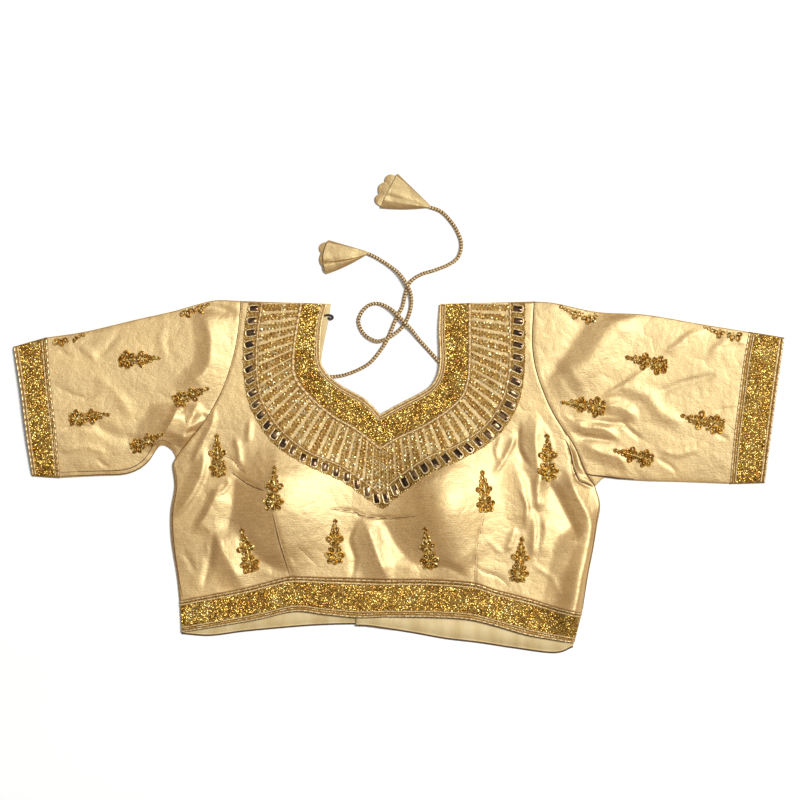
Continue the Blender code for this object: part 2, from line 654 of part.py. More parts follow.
def make_neck_embroidery(front, collection):
    """The sequin band round the neck, the radiating rows of beads, and the border of mirrors."""
    stations = np.linspace(0, 1, BAND_CORNERS + 1)
    plan = strip("neck", "neck_band", stations, (0, 0.5, 1))
    under = front.under_side(plan)
    relief("neck_band", plan, under + BAND_THICKNESS, under, "sequins", collection)

    stations = np.linspace(0, 1, 2 * BEAD_ROWS + 1)
    plan = strip("neck_band", "beadwork", stations, BEADWORK_SHARES)
    under = front.under_side(plan)
    rows = np.where(np.arange(len(plan)) % 2, BEAD_ROW_RAISE, 0)[:, None]
    relief("yoke_beadwork", plan, under + BAND_THICKNESS + rows, under, "beadwork", collection)

    steps = np.array([0, MIRROR_SLOPE, 1 - MIRROR_SLOPE])
    stations = np.append((np.arange(MIRRORS)[:, None] + steps).ravel(), MIRRORS) / MIRRORS
    half = np.append(np.tile([0, 1, 1], MIRRORS), 0)
    on_mirror = np.concatenate([half[::-1], half[1:]])
    plan = strip("beadwork", "mirrors", stations, MIRROR_SHARES, trim=SCALLOP_DEPTH * (1 - on_mirror))
    under = front.under_side(plan)
    raised = on_mirror[:, None] * np.array([0, 1, 1, 0]) * MIRROR_RAISE
    relief("mirror_border", plan, under + BAND_THICKNESS + raised, under, "mirrors", collection)


def make_neck_piping(collection):
    """The corded edge of the front neck."""
    edge = both_halves(*(spline(NECK_FRONT[side], YOKE_ROWS + 1) for side in ("left", "right")))
    line = shifted(edge, GAP + PIPING_RADIUS)
    heights = front_top(edge[:, 0], edge[:, 1]) - PIPING_DROP
    cord("neck_piping", with_height(line, heights), PIPING_RADIUS, "piping", collection)


def make_sprigs(place, surface, collection):
    """The raised flower sprigs of the front or of one sleeve."""
    for number, sprig in enumerate(rows_of(SPRIG_COLUMNS, SPRIGS[place]), 1):
        turn = math.radians(sprig["angle"])
        along = np.array([math.cos(turn), math.sin(turn)])
        across = np.array([-along[1], along[0]])
        middle = np.array([sprig["x"], sprig["y"]])
        plan = []
        for row in rows_of(OUTLINE_COLUMNS, SPRIG_OUTLINE):
            centre = middle + along * (row["share"] - 0.5) * sprig["length"]
            reach = across * row["half_width"] * sprig["length"]
            plan.append([centre - reach, centre, centre + reach])
        plan = np.array(plan)
        under = surface.under_side(plan)
        thickness = np.array([SPRIG_EDGE, SPRIG_CROWN, SPRIG_EDGE])
        relief(f"sprig_{place}_{number}", plan, under + thickness, under, "sequins", collection)


def make_dori(side, collection):
    """A tie cord, from its cloth end to the back neck."""
    route = CORD_ROUTES[side]
    length = np.linalg.norm(np.diff(np.array(route), axis=0), axis=1).sum()
    line = spline(route, round(length / CORD_STEP) + 1)
    line[:, 2] = np.maximum(line[:, 2], CORD_RADIUS + CORD_CLEARANCE)
    cord(f"dori_{side}", line, CORD_RADIUS, "cord", collection)


def make_latkan(side, collection):
    """A cord's end: a flattened cone of folded cloth, and the petals at its mouth."""
    latkan = LATKANS[side]
    neck, mouth = np.array(latkan["neck"], float), np.array(latkan["mouth"], float)
    along = (mouth - neck) / np.linalg.norm(mouth - neck)
    across = np.array([-along[1], along[0]])
    rings = []
    for section in rows_of(LATKAN_COLUMNS, LATKAN_SECTIONS):
        centre = neck + (mouth - neck) * section["share"]
        half_width, half_height = latkan["half_width"] * section["width"], section["half_height"]
        turns = [2 * math.pi * (step + 0.5) / LATKAN_SIDES for step in range(LATKAN_SIDES)]
        lowest = math.sin(math.pi * 0.5 - math.pi / LATKAN_SIDES)
        rings.append([(*(centre + across * half_width * math.cos(turn)),
                       half_height * (1 + math.sin(turn) / lowest)) for turn in turns])
    stuffed(f"latkan_{side}", rings, "silk", collection)

    steps = np.linspace(-1, 1, PETALS * PETAL_STEPS + 1)
    lobes = np.abs(np.sin(np.linspace(0, math.pi * PETALS, len(steps))))
    start = mouth + along * GAP + across * (steps * latkan["half_width"] * 0.96)[:, None]
    reach = latkan["petal"] * (0.4 + 0.6 * lobes)[:, None]
    section = rows_of(PETAL_COLUMNS, PETAL_SECTION)
    plan = np.stack([start + along * row["share"] * reach for row in section], axis=1)
    top = np.array([row["top"] for row in section]) - PETAL_DIP * (1 - lobes)[:, None]
    under = np.array([row["under"] for row in section])
    relief(f"latkan_{side}_petals", plan, top, under, "silk", collection)


def make_fastenings(collection):
    """The wire hook of the left strap, and the hooks between the back halves."""
    line = with_height(spline(STRAP_HOOK, 14), BACK_WALL + GAP + STRAP_HOOK_RADIUS)
    cord("strap_hook", line, STRAP_HOOK_RADIUS, "hook_metal", collection)
    length, width, thickness = BACK_HOOKS["size"]
    for number in range(BACK_HOOKS["count"]):
        bm = bmesh.new()
        bmesh.ops.create_cube(bm, size=1)
        bmesh.ops.scale(bm, vec=Vector((length, width, thickness)) * MM, verts=bm.verts)
        hook = add_object(f"back_hook_{number + 1}", mesh_from(bm, "back_hook"), "hook_metal", collection)
        y = BACK_HOOKS["first_y"] + number * BACK_HOOKS["pitch"]
        hook.location = Vector((BACK_HOOKS["x"], y, BACK_WALL + GAP + thickness / 2)) * MM


def main():
    for obj in list(bpy.data.objects):
        bpy.data.objects.remove(obj)
    collection = bpy.data.collections.new("choli_blouse")
    bpy.context.scene.collection.children.link(collection)

    front = Surface(make_front(collection))
    make_hem_band(collection)
    make_neck_embroidery(front, collection)
    make_neck_piping(collection)
    make_sprigs("front", front, collection)
    for side in ("left", "right"):
        make_back(side, collection)
        sleeve = Surface(make_sleeve(side, collection))
        make_sprigs(side, sleeve, collection)
        make_dori(side, collection)
        make_latkan(side, collection)
    make_fastenings(collection)


main()
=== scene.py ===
# A choli blouse laid flat on a pale table and seen from straight above.
# The tables are in millimetres: x to the viewer's right, y towards the neck, z up from the table.
import math

import bpy
import numpy as np
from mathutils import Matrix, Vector


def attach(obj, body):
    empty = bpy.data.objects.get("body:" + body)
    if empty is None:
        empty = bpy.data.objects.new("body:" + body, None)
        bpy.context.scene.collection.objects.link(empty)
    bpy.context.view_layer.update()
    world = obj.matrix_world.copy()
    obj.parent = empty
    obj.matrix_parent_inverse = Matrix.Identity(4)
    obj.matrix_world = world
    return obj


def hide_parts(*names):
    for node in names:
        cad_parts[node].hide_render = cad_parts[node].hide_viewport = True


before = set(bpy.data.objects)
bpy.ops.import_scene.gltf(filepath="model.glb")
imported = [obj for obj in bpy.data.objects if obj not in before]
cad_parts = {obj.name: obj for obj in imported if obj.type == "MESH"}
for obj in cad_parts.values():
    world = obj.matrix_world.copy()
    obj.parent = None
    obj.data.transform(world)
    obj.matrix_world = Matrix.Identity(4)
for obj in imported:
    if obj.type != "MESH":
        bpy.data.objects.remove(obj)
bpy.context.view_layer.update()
mm = 0.001
chance = np.random.default_rng(11)
signs = {"left": -1, "right": 1}
sides = tuple(signs)

studio = {
    "centre": (0.9, 83.6), "height": 7000, "frameWidth": 880, "sensor": 36,
    "table": [(0.3, (0.98, 0.98, 0.975)), (0.7, (0.99, 0.99, 0.985))],
    "surroundings": ((1.0, 0.98, 0.95, 1), 0.2),
    # place, size, watts
    "lamps": {"overhead": ((-250, 250, 1700), 1300, 3), "window": ((3900, 1800, 9000), 2500, 880)},
}


def makeStudio():
    camera = bpy.data.objects.new("camera", bpy.data.cameras.new("camera"))
    camera.data.sensor_width = studio["sensor"]
    camera.data.clip_end = 20
    camera.data.lens = studio["sensor"] * studio["height"] / studio["frameWidth"]
    camera.location = Vector((*studio["centre"], studio["height"])) * mm
    bpy.context.scene.collection.objects.link(camera)
    bpy.context.scene.camera = camera
    bpy.context.scene.view_settings.view_transform = "Standard"
    world = bpy.data.worlds.new("surroundings")
    bpy.context.scene.world = world
    world.use_nodes = True
    background = world.node_tree.nodes["Background"].inputs
    background["Color"].default_value, background["Strength"].default_value = studio["surroundings"]
    for name, (place, size, watts) in studio["lamps"].items():
        lamp = bpy.data.objects.new(name, bpy.data.lights.new(name, "AREA"))
        lamp.data.size = size * mm
        lamp.data.energy = watts
        lamp.location = Vector(place) * mm
        lamp.rotation_euler = (-Vector(place)).to_track_quat("-Z", "Y").to_euler()
        bpy.context.scene.collection.objects.link(lamp)
    bpy.ops.mesh.primitive_plane_add(size=8, location=(0, 0, -0.0003))
    table = bpy.context.object
    table.name = "table"
    look = Look("paleTable", studio["table"][0][1], 0.6, 0)
    look.colour(look.noise(6.0, detail=3.0), studio["table"])
    table.data.materials.append(look.made)


# A shader socket, or anything worked out from one
class Sock:
    def __init__(self, look, link):
        self.look, self.link = look, link

    def maths(self, operation, *values):
        return self.look.node("ShaderNodeMath", {"operation": operation}, dict(enumerate(values)))

    def __add__(self, other):
        return self.maths("ADD", self, other)

    def __sub__(self, other):
        return self.maths("SUBTRACT", self, other)

    def __rsub__(self, other):
        return self.maths("SUBTRACT", other, self)

    def __mul__(self, other):
        return self.maths("MULTIPLY", self, other)

    def size(self):
        return self.maths("ABSOLUTE", self)

    __radd__, __rmul__ = __add__, __mul__


# A material and its nodes; colours are red, green and blue
class Look:
    def __init__(self, name, colour, roughness, metallic, constants=None):
        self.made = bpy.data.materials.new(name)
        self.made.use_nodes = True
        self.nodes = self.made.node_tree.nodes
        self.shader = self.nodes["Principled BSDF"]
        self.set("Base Color", colour)
        self.set("Roughness", roughness)
        self.set("Metallic", metallic)
        for socket, value in (constants or {}).items():
            self.set(socket, value)

    def set(self, socket, value):
        if isinstance(value, Sock):
            self.made.node_tree.links.new(value.link, self.shader.inputs[socket])
        else:
            self.shader.inputs[socket].default_value = (*value, 1) if np.ndim(value) else value

    def node(self, kind, settings=None, sockets=None, out=0):
        made = self.nodes.new(kind)
        for name, value in (settings or {}).items():
            if name == "stops":
                ramp = made.color_ramp
                while len(ramp.elements) < len(value):
                    ramp.elements.new(0.5)
                for element, (place, colour) in zip(ramp.elements, value):
                    element.position, element.color = place, (*colour, 1)
            elif name == "interpolation":
                made.color_ramp.interpolation = value
            else:
                setattr(made, name, value)
        for name, value in (sockets or {}).items():
            if isinstance(value, Sock):
                self.made.node_tree.links.new(value.link, made.inputs[name])
            else:
                made.inputs[name].default_value = value
        return Sock(self, made.outputs[out])

    def place(self, scale=(1, 1, 1), turn=0.0):
        here = self.node("ShaderNodeTexCoord", out="Object")
        if turn:
            here = self.node("ShaderNodeVectorRotate", {"rotation_type": "Z_AXIS"},
                             {"Vector": here, "Angle": turn})
        return self.node("ShaderNodeVectorMath", {"operation": "MULTIPLY"}, {0: here, 1: scale})

    def noise(self, scale, stretch=(1, 1, 1), detail=2.0, turn=0.0):
        return self.node("ShaderNodeTexNoise", sockets={
            "Vector": self.place(stretch, turn), "Scale": scale, "Detail": detail})

    def colour(self, value, stops, steps=False):
        settings = {"interpolation": "CONSTANT" if steps else "LINEAR", "stops": stops}
        self.set("Base Color", self.node("ShaderNodeValToRGB", settings, {"Fac": value}))

    def bump(self, height, depth):
        self.set("Normal", self.node("ShaderNodeBump", sockets={
            "Height": height, "Distance": depth * mm, "Strength": 1.0}))


makeStudio()
print("studio ready")

silkLook = {
    "deep": (0.29, 0.114, 0.030), "middle": (0.42, 0.198, 0.058), "pale": (0.58, 0.308, 0.100),
    "roughness": 0.48, "index": 2.42, "sheen": (1.0, 0.865, 0.465), "weaveDepth": 0.22, "crumpleDepth": 1.7,
    # scale, stretch, detail
    "slub": (70, (1, 14, 1), 3.0), "grain": (780, (0.8, 1.3, 1), 1.0), "drift": (14, (1, 1.4, 1), 3.0),
    "crumple": (34, (1, 1, 1), 4.0),
}


# Shot art silk: a brown-gold ground under a broad pale gold sheen, with fine slubs and a grain of threads
def silk(name, turn=0.0, shadeFactor=1.0):
    # shadeFactor darkens a copy of the silk as painted shade
    deep, middle, pale, sheen = (tuple(value * shadeFactor for value in silkLook[key])
                                 for key in ("deep", "middle", "pale", "sheen"))
    look = Look(name, silkLook["middle"], silkLook["roughness"], 0.0,
                {"IOR": silkLook["index"], "Specular IOR Level": 1.0, "Specular Tint": sheen})
    slub, grain, drift, crumple = (look.noise(*silkLook[key], turn)
                                   for key in ("slub", "grain", "drift", "crumple"))
    look.colour(drift * 0.34 + slub * 0.22 + grain * 0.44, [(0.38, deep), (0.5, middle), (0.62, pale)])
    look.set("Roughness", slub * 0.16 + silkLook["roughness"] - 0.08)
    weave = (slub * 0.4 + grain * 0.6) * silkLook["weaveDepth"]
    look.bump((crumple - 0.5).size() * silkLook["crumpleDepth"] + weave, 1.0)
    return look.made


def lining():
    look = Look("liningCotton", (0.76, 0.6, 0.30), 0.7, 0.0, {"Sheen Weight": 0.2})
    weave = look.noise(900, detail=1.0)
    wrinklesAndShade = look.noise(45, (1.6, 0.5, 1))
    # the wrinkle noise darkens the colour where the bump is low: painted shade in the wrinkles
    look.colour(wrinklesAndShade * 0.7 + weave * 0.3, [(0.3, (0.62, 0.44, 0.18)), (0.6, (0.80, 0.63, 0.33))])
    look.bump(wrinklesAndShade * 0.8 + weave * 0.2, 0.5)
    return look.made


# Metal sequins and beads, each picking one of several tones
def sparkle(name, tones, cell, roughness=0.24, metallic=0.85, drift=0.0):
    look = Look(name, tones[0], roughness, metallic)
    cells = look.node("ShaderNodeTexVoronoi", sockets={"Vector": look.place(), "Scale": 1000 / cell},
                      out="Color")
    pick = look.node("ShaderNodeSeparateColor", sockets={0: cells})
    if drift:  # like tones gather in patches
        pick = pick * (1 - drift) + (look.noise(75) * 3.0 - 1.0) * drift
    look.colour(pick, [(index / len(tones), tone) for index, tone in enumerate(tones)], steps=True)
    look.set("Roughness", pick * 0.15 + roughness)
    return look.made


# Twisted thread or coiled wire
def thread(name, light, dark, pitch, roughness=0.45, metallic=0.5):
    look = Look(name, light, roughness, metallic)
    strands = look.noise(1000 / pitch)
    # the same noise sets the bump and the colour, darker where the bump is lower: painted shade between the
    # strands
    look.colour(strands, [(0.38, dark), (0.6, light)])
    look.bump(strands, 0.15)
    return look.made


looks = {
    "silkFront": silk("artSilkFront"),
    "silkLeft": silk("artSilkLeftSleeve", 0.1),
    "silkRight": silk("artSilkRightSleeve", -0.1),
    # the cloth ends and the yoke are darker copies of the silk: painted shade, on the yoke from the rings
    # above it
    "silkEnds": silk("artSilkCordEnds", 0.6, 0.72),
    "silkYoke": silk("artSilkYoke", 0.3, 0.82),
    # Dark seam thread, and painted shade: the same dark look draws the lines in creases and the shadows along
    # edges
    "shade": sparkle("darkThreadAndPaintedShade", [(0.07, 0.03, 0.01), (0.12, 0.055, 0.02)], 2.0, 0.6, 0.1),
    "lining": lining(),
    "backing": sparkle("sequinBacking", [(0.20, 0.10, 0.015), (0.30, 0.16, 0.025), (0.40, 0.23, 0.045)],
                       1.1, 0.5, 0.6),
    "sequins": sparkle("antiqueSequins", [
        (0.46, 0.17, 0.03), (0.20, 0.085, 0.012), (0.66, 0.35, 0.06), (0.80, 0.50, 0.11),
        (0.30, 0.15, 0.02), (0.90, 0.66, 0.22), (0.56, 0.38, 0.06), (0.96, 0.80, 0.40)],
        1.3, 0.28, 1.0, 0.45),
    "rings": sparkle("ringedSequins", [
        (0.66, 0.38, 0.08), (0.90, 0.66, 0.24), (0.50, 0.27, 0.05), (0.98, 0.86, 0.50)],
        4.5, 0.26, 0.45, 0.2),
    "silver": sparkle("silverGiltRings", [
        (0.88, 0.68, 0.28), (0.98, 0.88, 0.52), (0.68, 0.45, 0.13)], 4.5, 0.24, 0.5),
    "copper": sparkle("copperRings", [
        (0.40, 0.16, 0.03), (0.58, 0.28, 0.06), (0.74, 0.45, 0.12)], 2.6, 0.24, 0.6),
    "bronze": sparkle("bronzeCoils", [
        (0.58, 0.33, 0.06), (0.86, 0.60, 0.17), (0.32, 0.15, 0.02), (0.98, 0.82, 0.38)], 2.4, 0.24, 0.62),
    "pips": sparkle("darkPips", [(0.09, 0.04, 0.008), (0.17, 0.075, 0.016), (0.34, 0.17, 0.035)],
                    3.5, 0.3, 0.6),
    "paleRope": thread("paleGiltRope", (0.90, 0.69, 0.34), (0.52, 0.32, 0.10), 1.5, 0.45, 0.2),
    "darkRope": thread("brownRope", (0.46, 0.25, 0.07), (0.16, 0.07, 0.015), 1.5),
    "piping": thread("silkPiping", (0.86, 0.66, 0.34), (0.52, 0.32, 0.12), 2.5, 0.4, 0.5),
    "cord": thread("braidedCord", (0.80, 0.60, 0.33), (0.55, 0.35, 0.14), 1.8, 0.42, 0.3),
    # painted shade in the grooves of the braid
    "cordShade": thread("braidGroovePaintedShade", (0.16, 0.07, 0.02), (0.07, 0.03, 0.008), 1.8, 0.7, 0.4),
    "stitch": thread("sewingThread", (0.74, 0.55, 0.25), (0.45, 0.28, 0.1), 1.0, 0.6, 0.1),
    "mirror": sparkle("smokedMirror", [(0.05, 0.025, 0.012), (0.10, 0.05, 0.022), (0.22, 0.13, 0.06)],
                      7.0, 0.12, 0.7),
    # a dark backing behind the mirrors, and painted shade as the ground under the sprigs' loops
    "darkBacking": sparkle("darkBacking", [(0.16, 0.08, 0.018), (0.26, 0.14, 0.03), (0.42, 0.25, 0.06)],
                           1.6, 0.55, 0.9),
    "frame": thread("paleGiltCoil", (0.88, 0.70, 0.38), (0.46, 0.29, 0.10), 1.0, 0.35, 0.35),
    "hook": thread("blackenedWire", (0.03, 0.02, 0.018), (0.012, 0.008, 0.008), 3.0, 0.5, 0.2),
}
print("materials ready")

# The cut: seam lines and edges in plan, from the centre outwards or from the hem upwards
cut = {
    "hemFront": {
        "left": [(-14.5, -154.5), (-44, -155.5), (-81.5, -152), (-114.5, -148.5), (-153.5, -157),
                 (-190, -163.5), (-239, -171.5)],
        "right": [(-14.5, -154.5), (33.5, -155), (75.5, -157.5), (106.5, -164.5), (143, -175),
                  (192.5, -183.5)]},
    "hemBandTop": {
        "left": [(-14.5, -114.5), (-44, -113.5), (-80.5, -112.5), (-117.5, -111.5), (-135.5, -115),
                 (-172, -124.5), (-208.5, -131.5), (-240.8, -138)],
        "right": [(-14.5, -114.5), (33.5, -114.5), (81, -118), (106.5, -126), (143, -135.5), (179.5, -146.5),
                  (200.8, -151)]},
    "hemBack": {
        "left": [(-25.5, -162), (-63, -162), (-99, -163.5), (-135.5, -166.5), (-172, -170), (-208, -174.5),
                 (-239, -172.5)],
        "right": [(-47.5, -163.5), (-30, -164.5), (15, -171.5), (51.5, -178), (89, -182.5), (125, -188),
                  (170.5, -193.5), (191, -187)]},
    "side": {
        "left": [(-244, -109), (-250, -71.5), (-251, -40.5), (-246.5, -11), (-248.8, 11), (-245, 20.5)],
        "right": [(202.5, -142), (207.5, -111), (213.5, -80.5), (217.5, -55), (221, -32), (215.5, -11)]},
    "armhole": {
        "left": [(-245, 20.5), (-234, 35), (-216, 57), (-202, 79.5), (-192.5, 99), (-185, 121),
                 (-179.5, 143), (-176, 166), (-174, 192.5)],
        "right": [(215.5, -11), (205.5, 3.5), (195.5, 27.5), (188, 40.5), (172, 64.5), (160.5, 88),
                  (150.5, 117.5), (146.5, 147.5), (148.5, 192)]},
    "neck": {
        "left": [(-21, 65.5), (-38.5, 83), (-64.5, 98), (-80, 111), (-88, 125.5), (-88.5, 149.5),
                 (-86.5, 169.5), (-81.5, 188.5)],
        "right": [(-21, 65.5), (-1.5, 76.5), (30.5, 93.5), (42, 106.5), (46.5, 125.5), (45.5, 160.5),
                  (46.5, 188.5)]},
    "neckBack": [
        (-75, 189.5), (-77, 174), (-81, 155), (-84.5, 136.5), (-86, 122), (-86.5, 108), (-88, 89),
        (-82.5, 50.5),
        (-59.5, 12), (-15.5, -4.5), (19.5, 8), (43.5, 38), (52, 72.5), (51.5, 100), (47.5, 121),
        (45.5, 138.5), (44.5, 160.5), (46, 189.5)],
    "neckBand": {
        "left": [(-21, 29.5), (-47, 50.5), (-73, 65.5), (-99, 87.5), (-115.5, 111), (-115.5, 144),
                 (-108, 190.5)],
        "right": [(-21, 29.5), (-1.5, 41.5), (31.5, 57), (64, 80.5), (75, 100.5), (78, 128.5), (78, 190.5)]},
    "beadwork": {
        "left": [(-21, -21.5), (-38.5, -8.5), (-64.5, 9), (-103.5, 26.5), (-132, 50.5), (-151.5, 80.5),
                 (-158, 111), (-158, 150.5), (-152.5, 190.5)],
        "right": [(-21, -21.5), (-1.5, -4), (31.5, 18.5), (64, 32), (94.5, 52.5), (114, 80.5), (122.5, 111),
                  (124, 150), (124, 190.5)]},
    "mirrors": {
        "left": [(-17.5, -36.5), (-36, -24), (-62.5, -5.5), (-101.5, 12), (-137, 35), (-160, 68), (-170, 103),
                 (-171, 150.5), (-165.5, 190.5)],
        "right": [(-17.5, -36.5), (4, -18), (36, 4.5), (72, 20), (106, 42), (128, 72), (137, 108),
                  (138.5, 150), (138.5, 190.5)]},
    "sleeve": {
        "left": {"upper": [(-196.5, 193.5), (-212, 191.5), (-249.5, 181), (-287.5, 172.5), (-344.5, 159)],
                 "lower": [(-251, 29.5), (-263, 33), (-278, 13), (-299, 2), (-333, 0)],
                 "cuffSeam": [(-373, -2), (-377, 50), (-383, 101), (-387, 152.5)],
                 "cuffEdge": [(-403, 0), (-410, 48), (-416, 95), (-424, 142)]},
        "right": {"upper": [(172, 190), (217.5, 180.5), (270.5, 177.5), (329.5, 167.5)],
                  "lower": [(227, -1.5), (243, -3.5), (270.5, -5.5), (309.5, -6.5)],
                  "cuffSeam": [(363.5, -8.5), (367.5, 39), (373.5, 88), (378.5, 127), (384.5, 158.5)],
                  "cuffEdge": [(402, -7.5), (408, 38.5), (413.5, 82), (418.5, 117), (423.5, 152)]}},
}


def distances(line):  # along a line, at each of its points
    return np.concatenate([[0], np.cumsum(np.linalg.norm(np.diff(line, axis=0), axis=1))])


def atShares(line, shares):  # points at shares of a line's length
    along = distances(line)
    places = np.asarray(shares) * along[-1]
    return np.stack([np.interp(places, along, line[:, k]) for k in range(line.shape[1])], axis=-1)


def spaced(line, count):
    return atShares(np.asarray(line, float), np.linspace(0, 1, count))


def between(first, second, share):
    return (1 - share) * first + share * second


def joined(halves):  # one line from a left and a right half, both from the centre outwards
    return np.vstack([halves[0][::-1], halves[1][1:]])


def smooth(points, count):  # a smooth curve through the points, evenly spaced
    knots = np.array(points, float)
    ends = np.vstack([2 * knots[0] - knots[1], knots, 2 * knots[-1] - knots[-2]])
    t = np.linspace(0, 1, 16, endpoint=False)[:, None]
    fine = [b + ((c - a) * t + (2 * a - 5 * b + 4 * c - d) * t**2 + (3 * (b - c) + d - a) * t**3) / 2
            for a, b, c, d in zip(ends, ends[1:], ends[2:], ends[3:])]
    return spaced(np.vstack(fine + [knots[-1:]]), count)


def shifted(line, distance):  # a plan line moved to its left
    steps = np.diff(line, axis=0)
    steps = steps / np.linalg.norm(steps, axis=1)[:, None]
    normals = np.stack([-steps[:, 1], steps[:, 0]], axis=1)
    middle = np.vstack([normals[:1], normals]) + np.vstack([normals, normals[-1:]])
    return line + distance * middle * (2 / (middle**2).sum(axis=1))[:, None]


def lengthOf(line):
    return distances(line)[-1]


def nearLine(line, x, y):  # distance from a plan line, how far along it that is (0 to 1), and the side of it
    px, py = np.ravel(x), np.ravel(y)
    nearest, share, side = np.full(px.shape, 1e12), np.zeros(px.shape), np.zeros(px.shape)
    for i, ((ax, ay), (bx, by)) in enumerate(zip(line[:-1, :2], line[1:, :2])):
        dx, dy = bx - ax, by - ay
        t = np.clip(((px - ax) * dx + (py - ay) * dy) / (dx * dx + dy * dy), 0, 1)
        square = (px - ax - t * dx) ** 2 + (py - ay - t * dy) ** 2
        closer = square < nearest
        share = np.where(closer, (i + t) / (len(line) - 1), share)
        side = np.where(closer, dx * (py - ay) - dy * (px - ax), side)
        nearest = np.minimum(nearest, square)
    return [values.reshape(np.shape(x)) for values in (np.sqrt(nearest), share, side)]


def sleeveFold(side, which, start=None, end=None):  # by default from the armhole to the cuff's edge
    place = {"upper": -1, "lower": 0}[which]
    start = cut["armhole"][side][place] if start is None else start
    end = cut["sleeve"][side]["cuffEdge"][place] if end is None else end
    return smooth([tuple(start)] + cut["sleeve"][side][which] + [tuple(end)], 40)


def outlineLines():
    lines = [np.array([cut["neck"][side][-1], cut["armhole"][side][-1]], float) for side in sides]
    for side in sides:
        lines += [sleeveFold(side, which)[::3] for which in ("upper", "lower")]
        lines.append(smooth([cut["hemFront"][side][-1]] + cut["side"][side], 14))
    return lines


outline = outlineLines()
armholes = {side: smooth(cut["armhole"][side], 30) for side in sides}

# Creases that also have a dark line of their own, painted shade along the crease
creases = {
    "cups": [(-76, -36), (-58, -38), (-47, -40), (-42, -43), (-24, -46), (-2, -46), (18, -44)],
    "besideArmhole": [(-192, 22), (-182, 17), (-176, 9), (-169, 4)],
    "aboveCup": [(-184, 4), (-172, -5), (-162, -11), (-149, -16)],
    "besideLeftDart": [(-112, -76), (-100, -88), (-88, -99)],
    "besideRightDart": [(84, -98), (94, -106), (108, -110), (122, -122)],
}

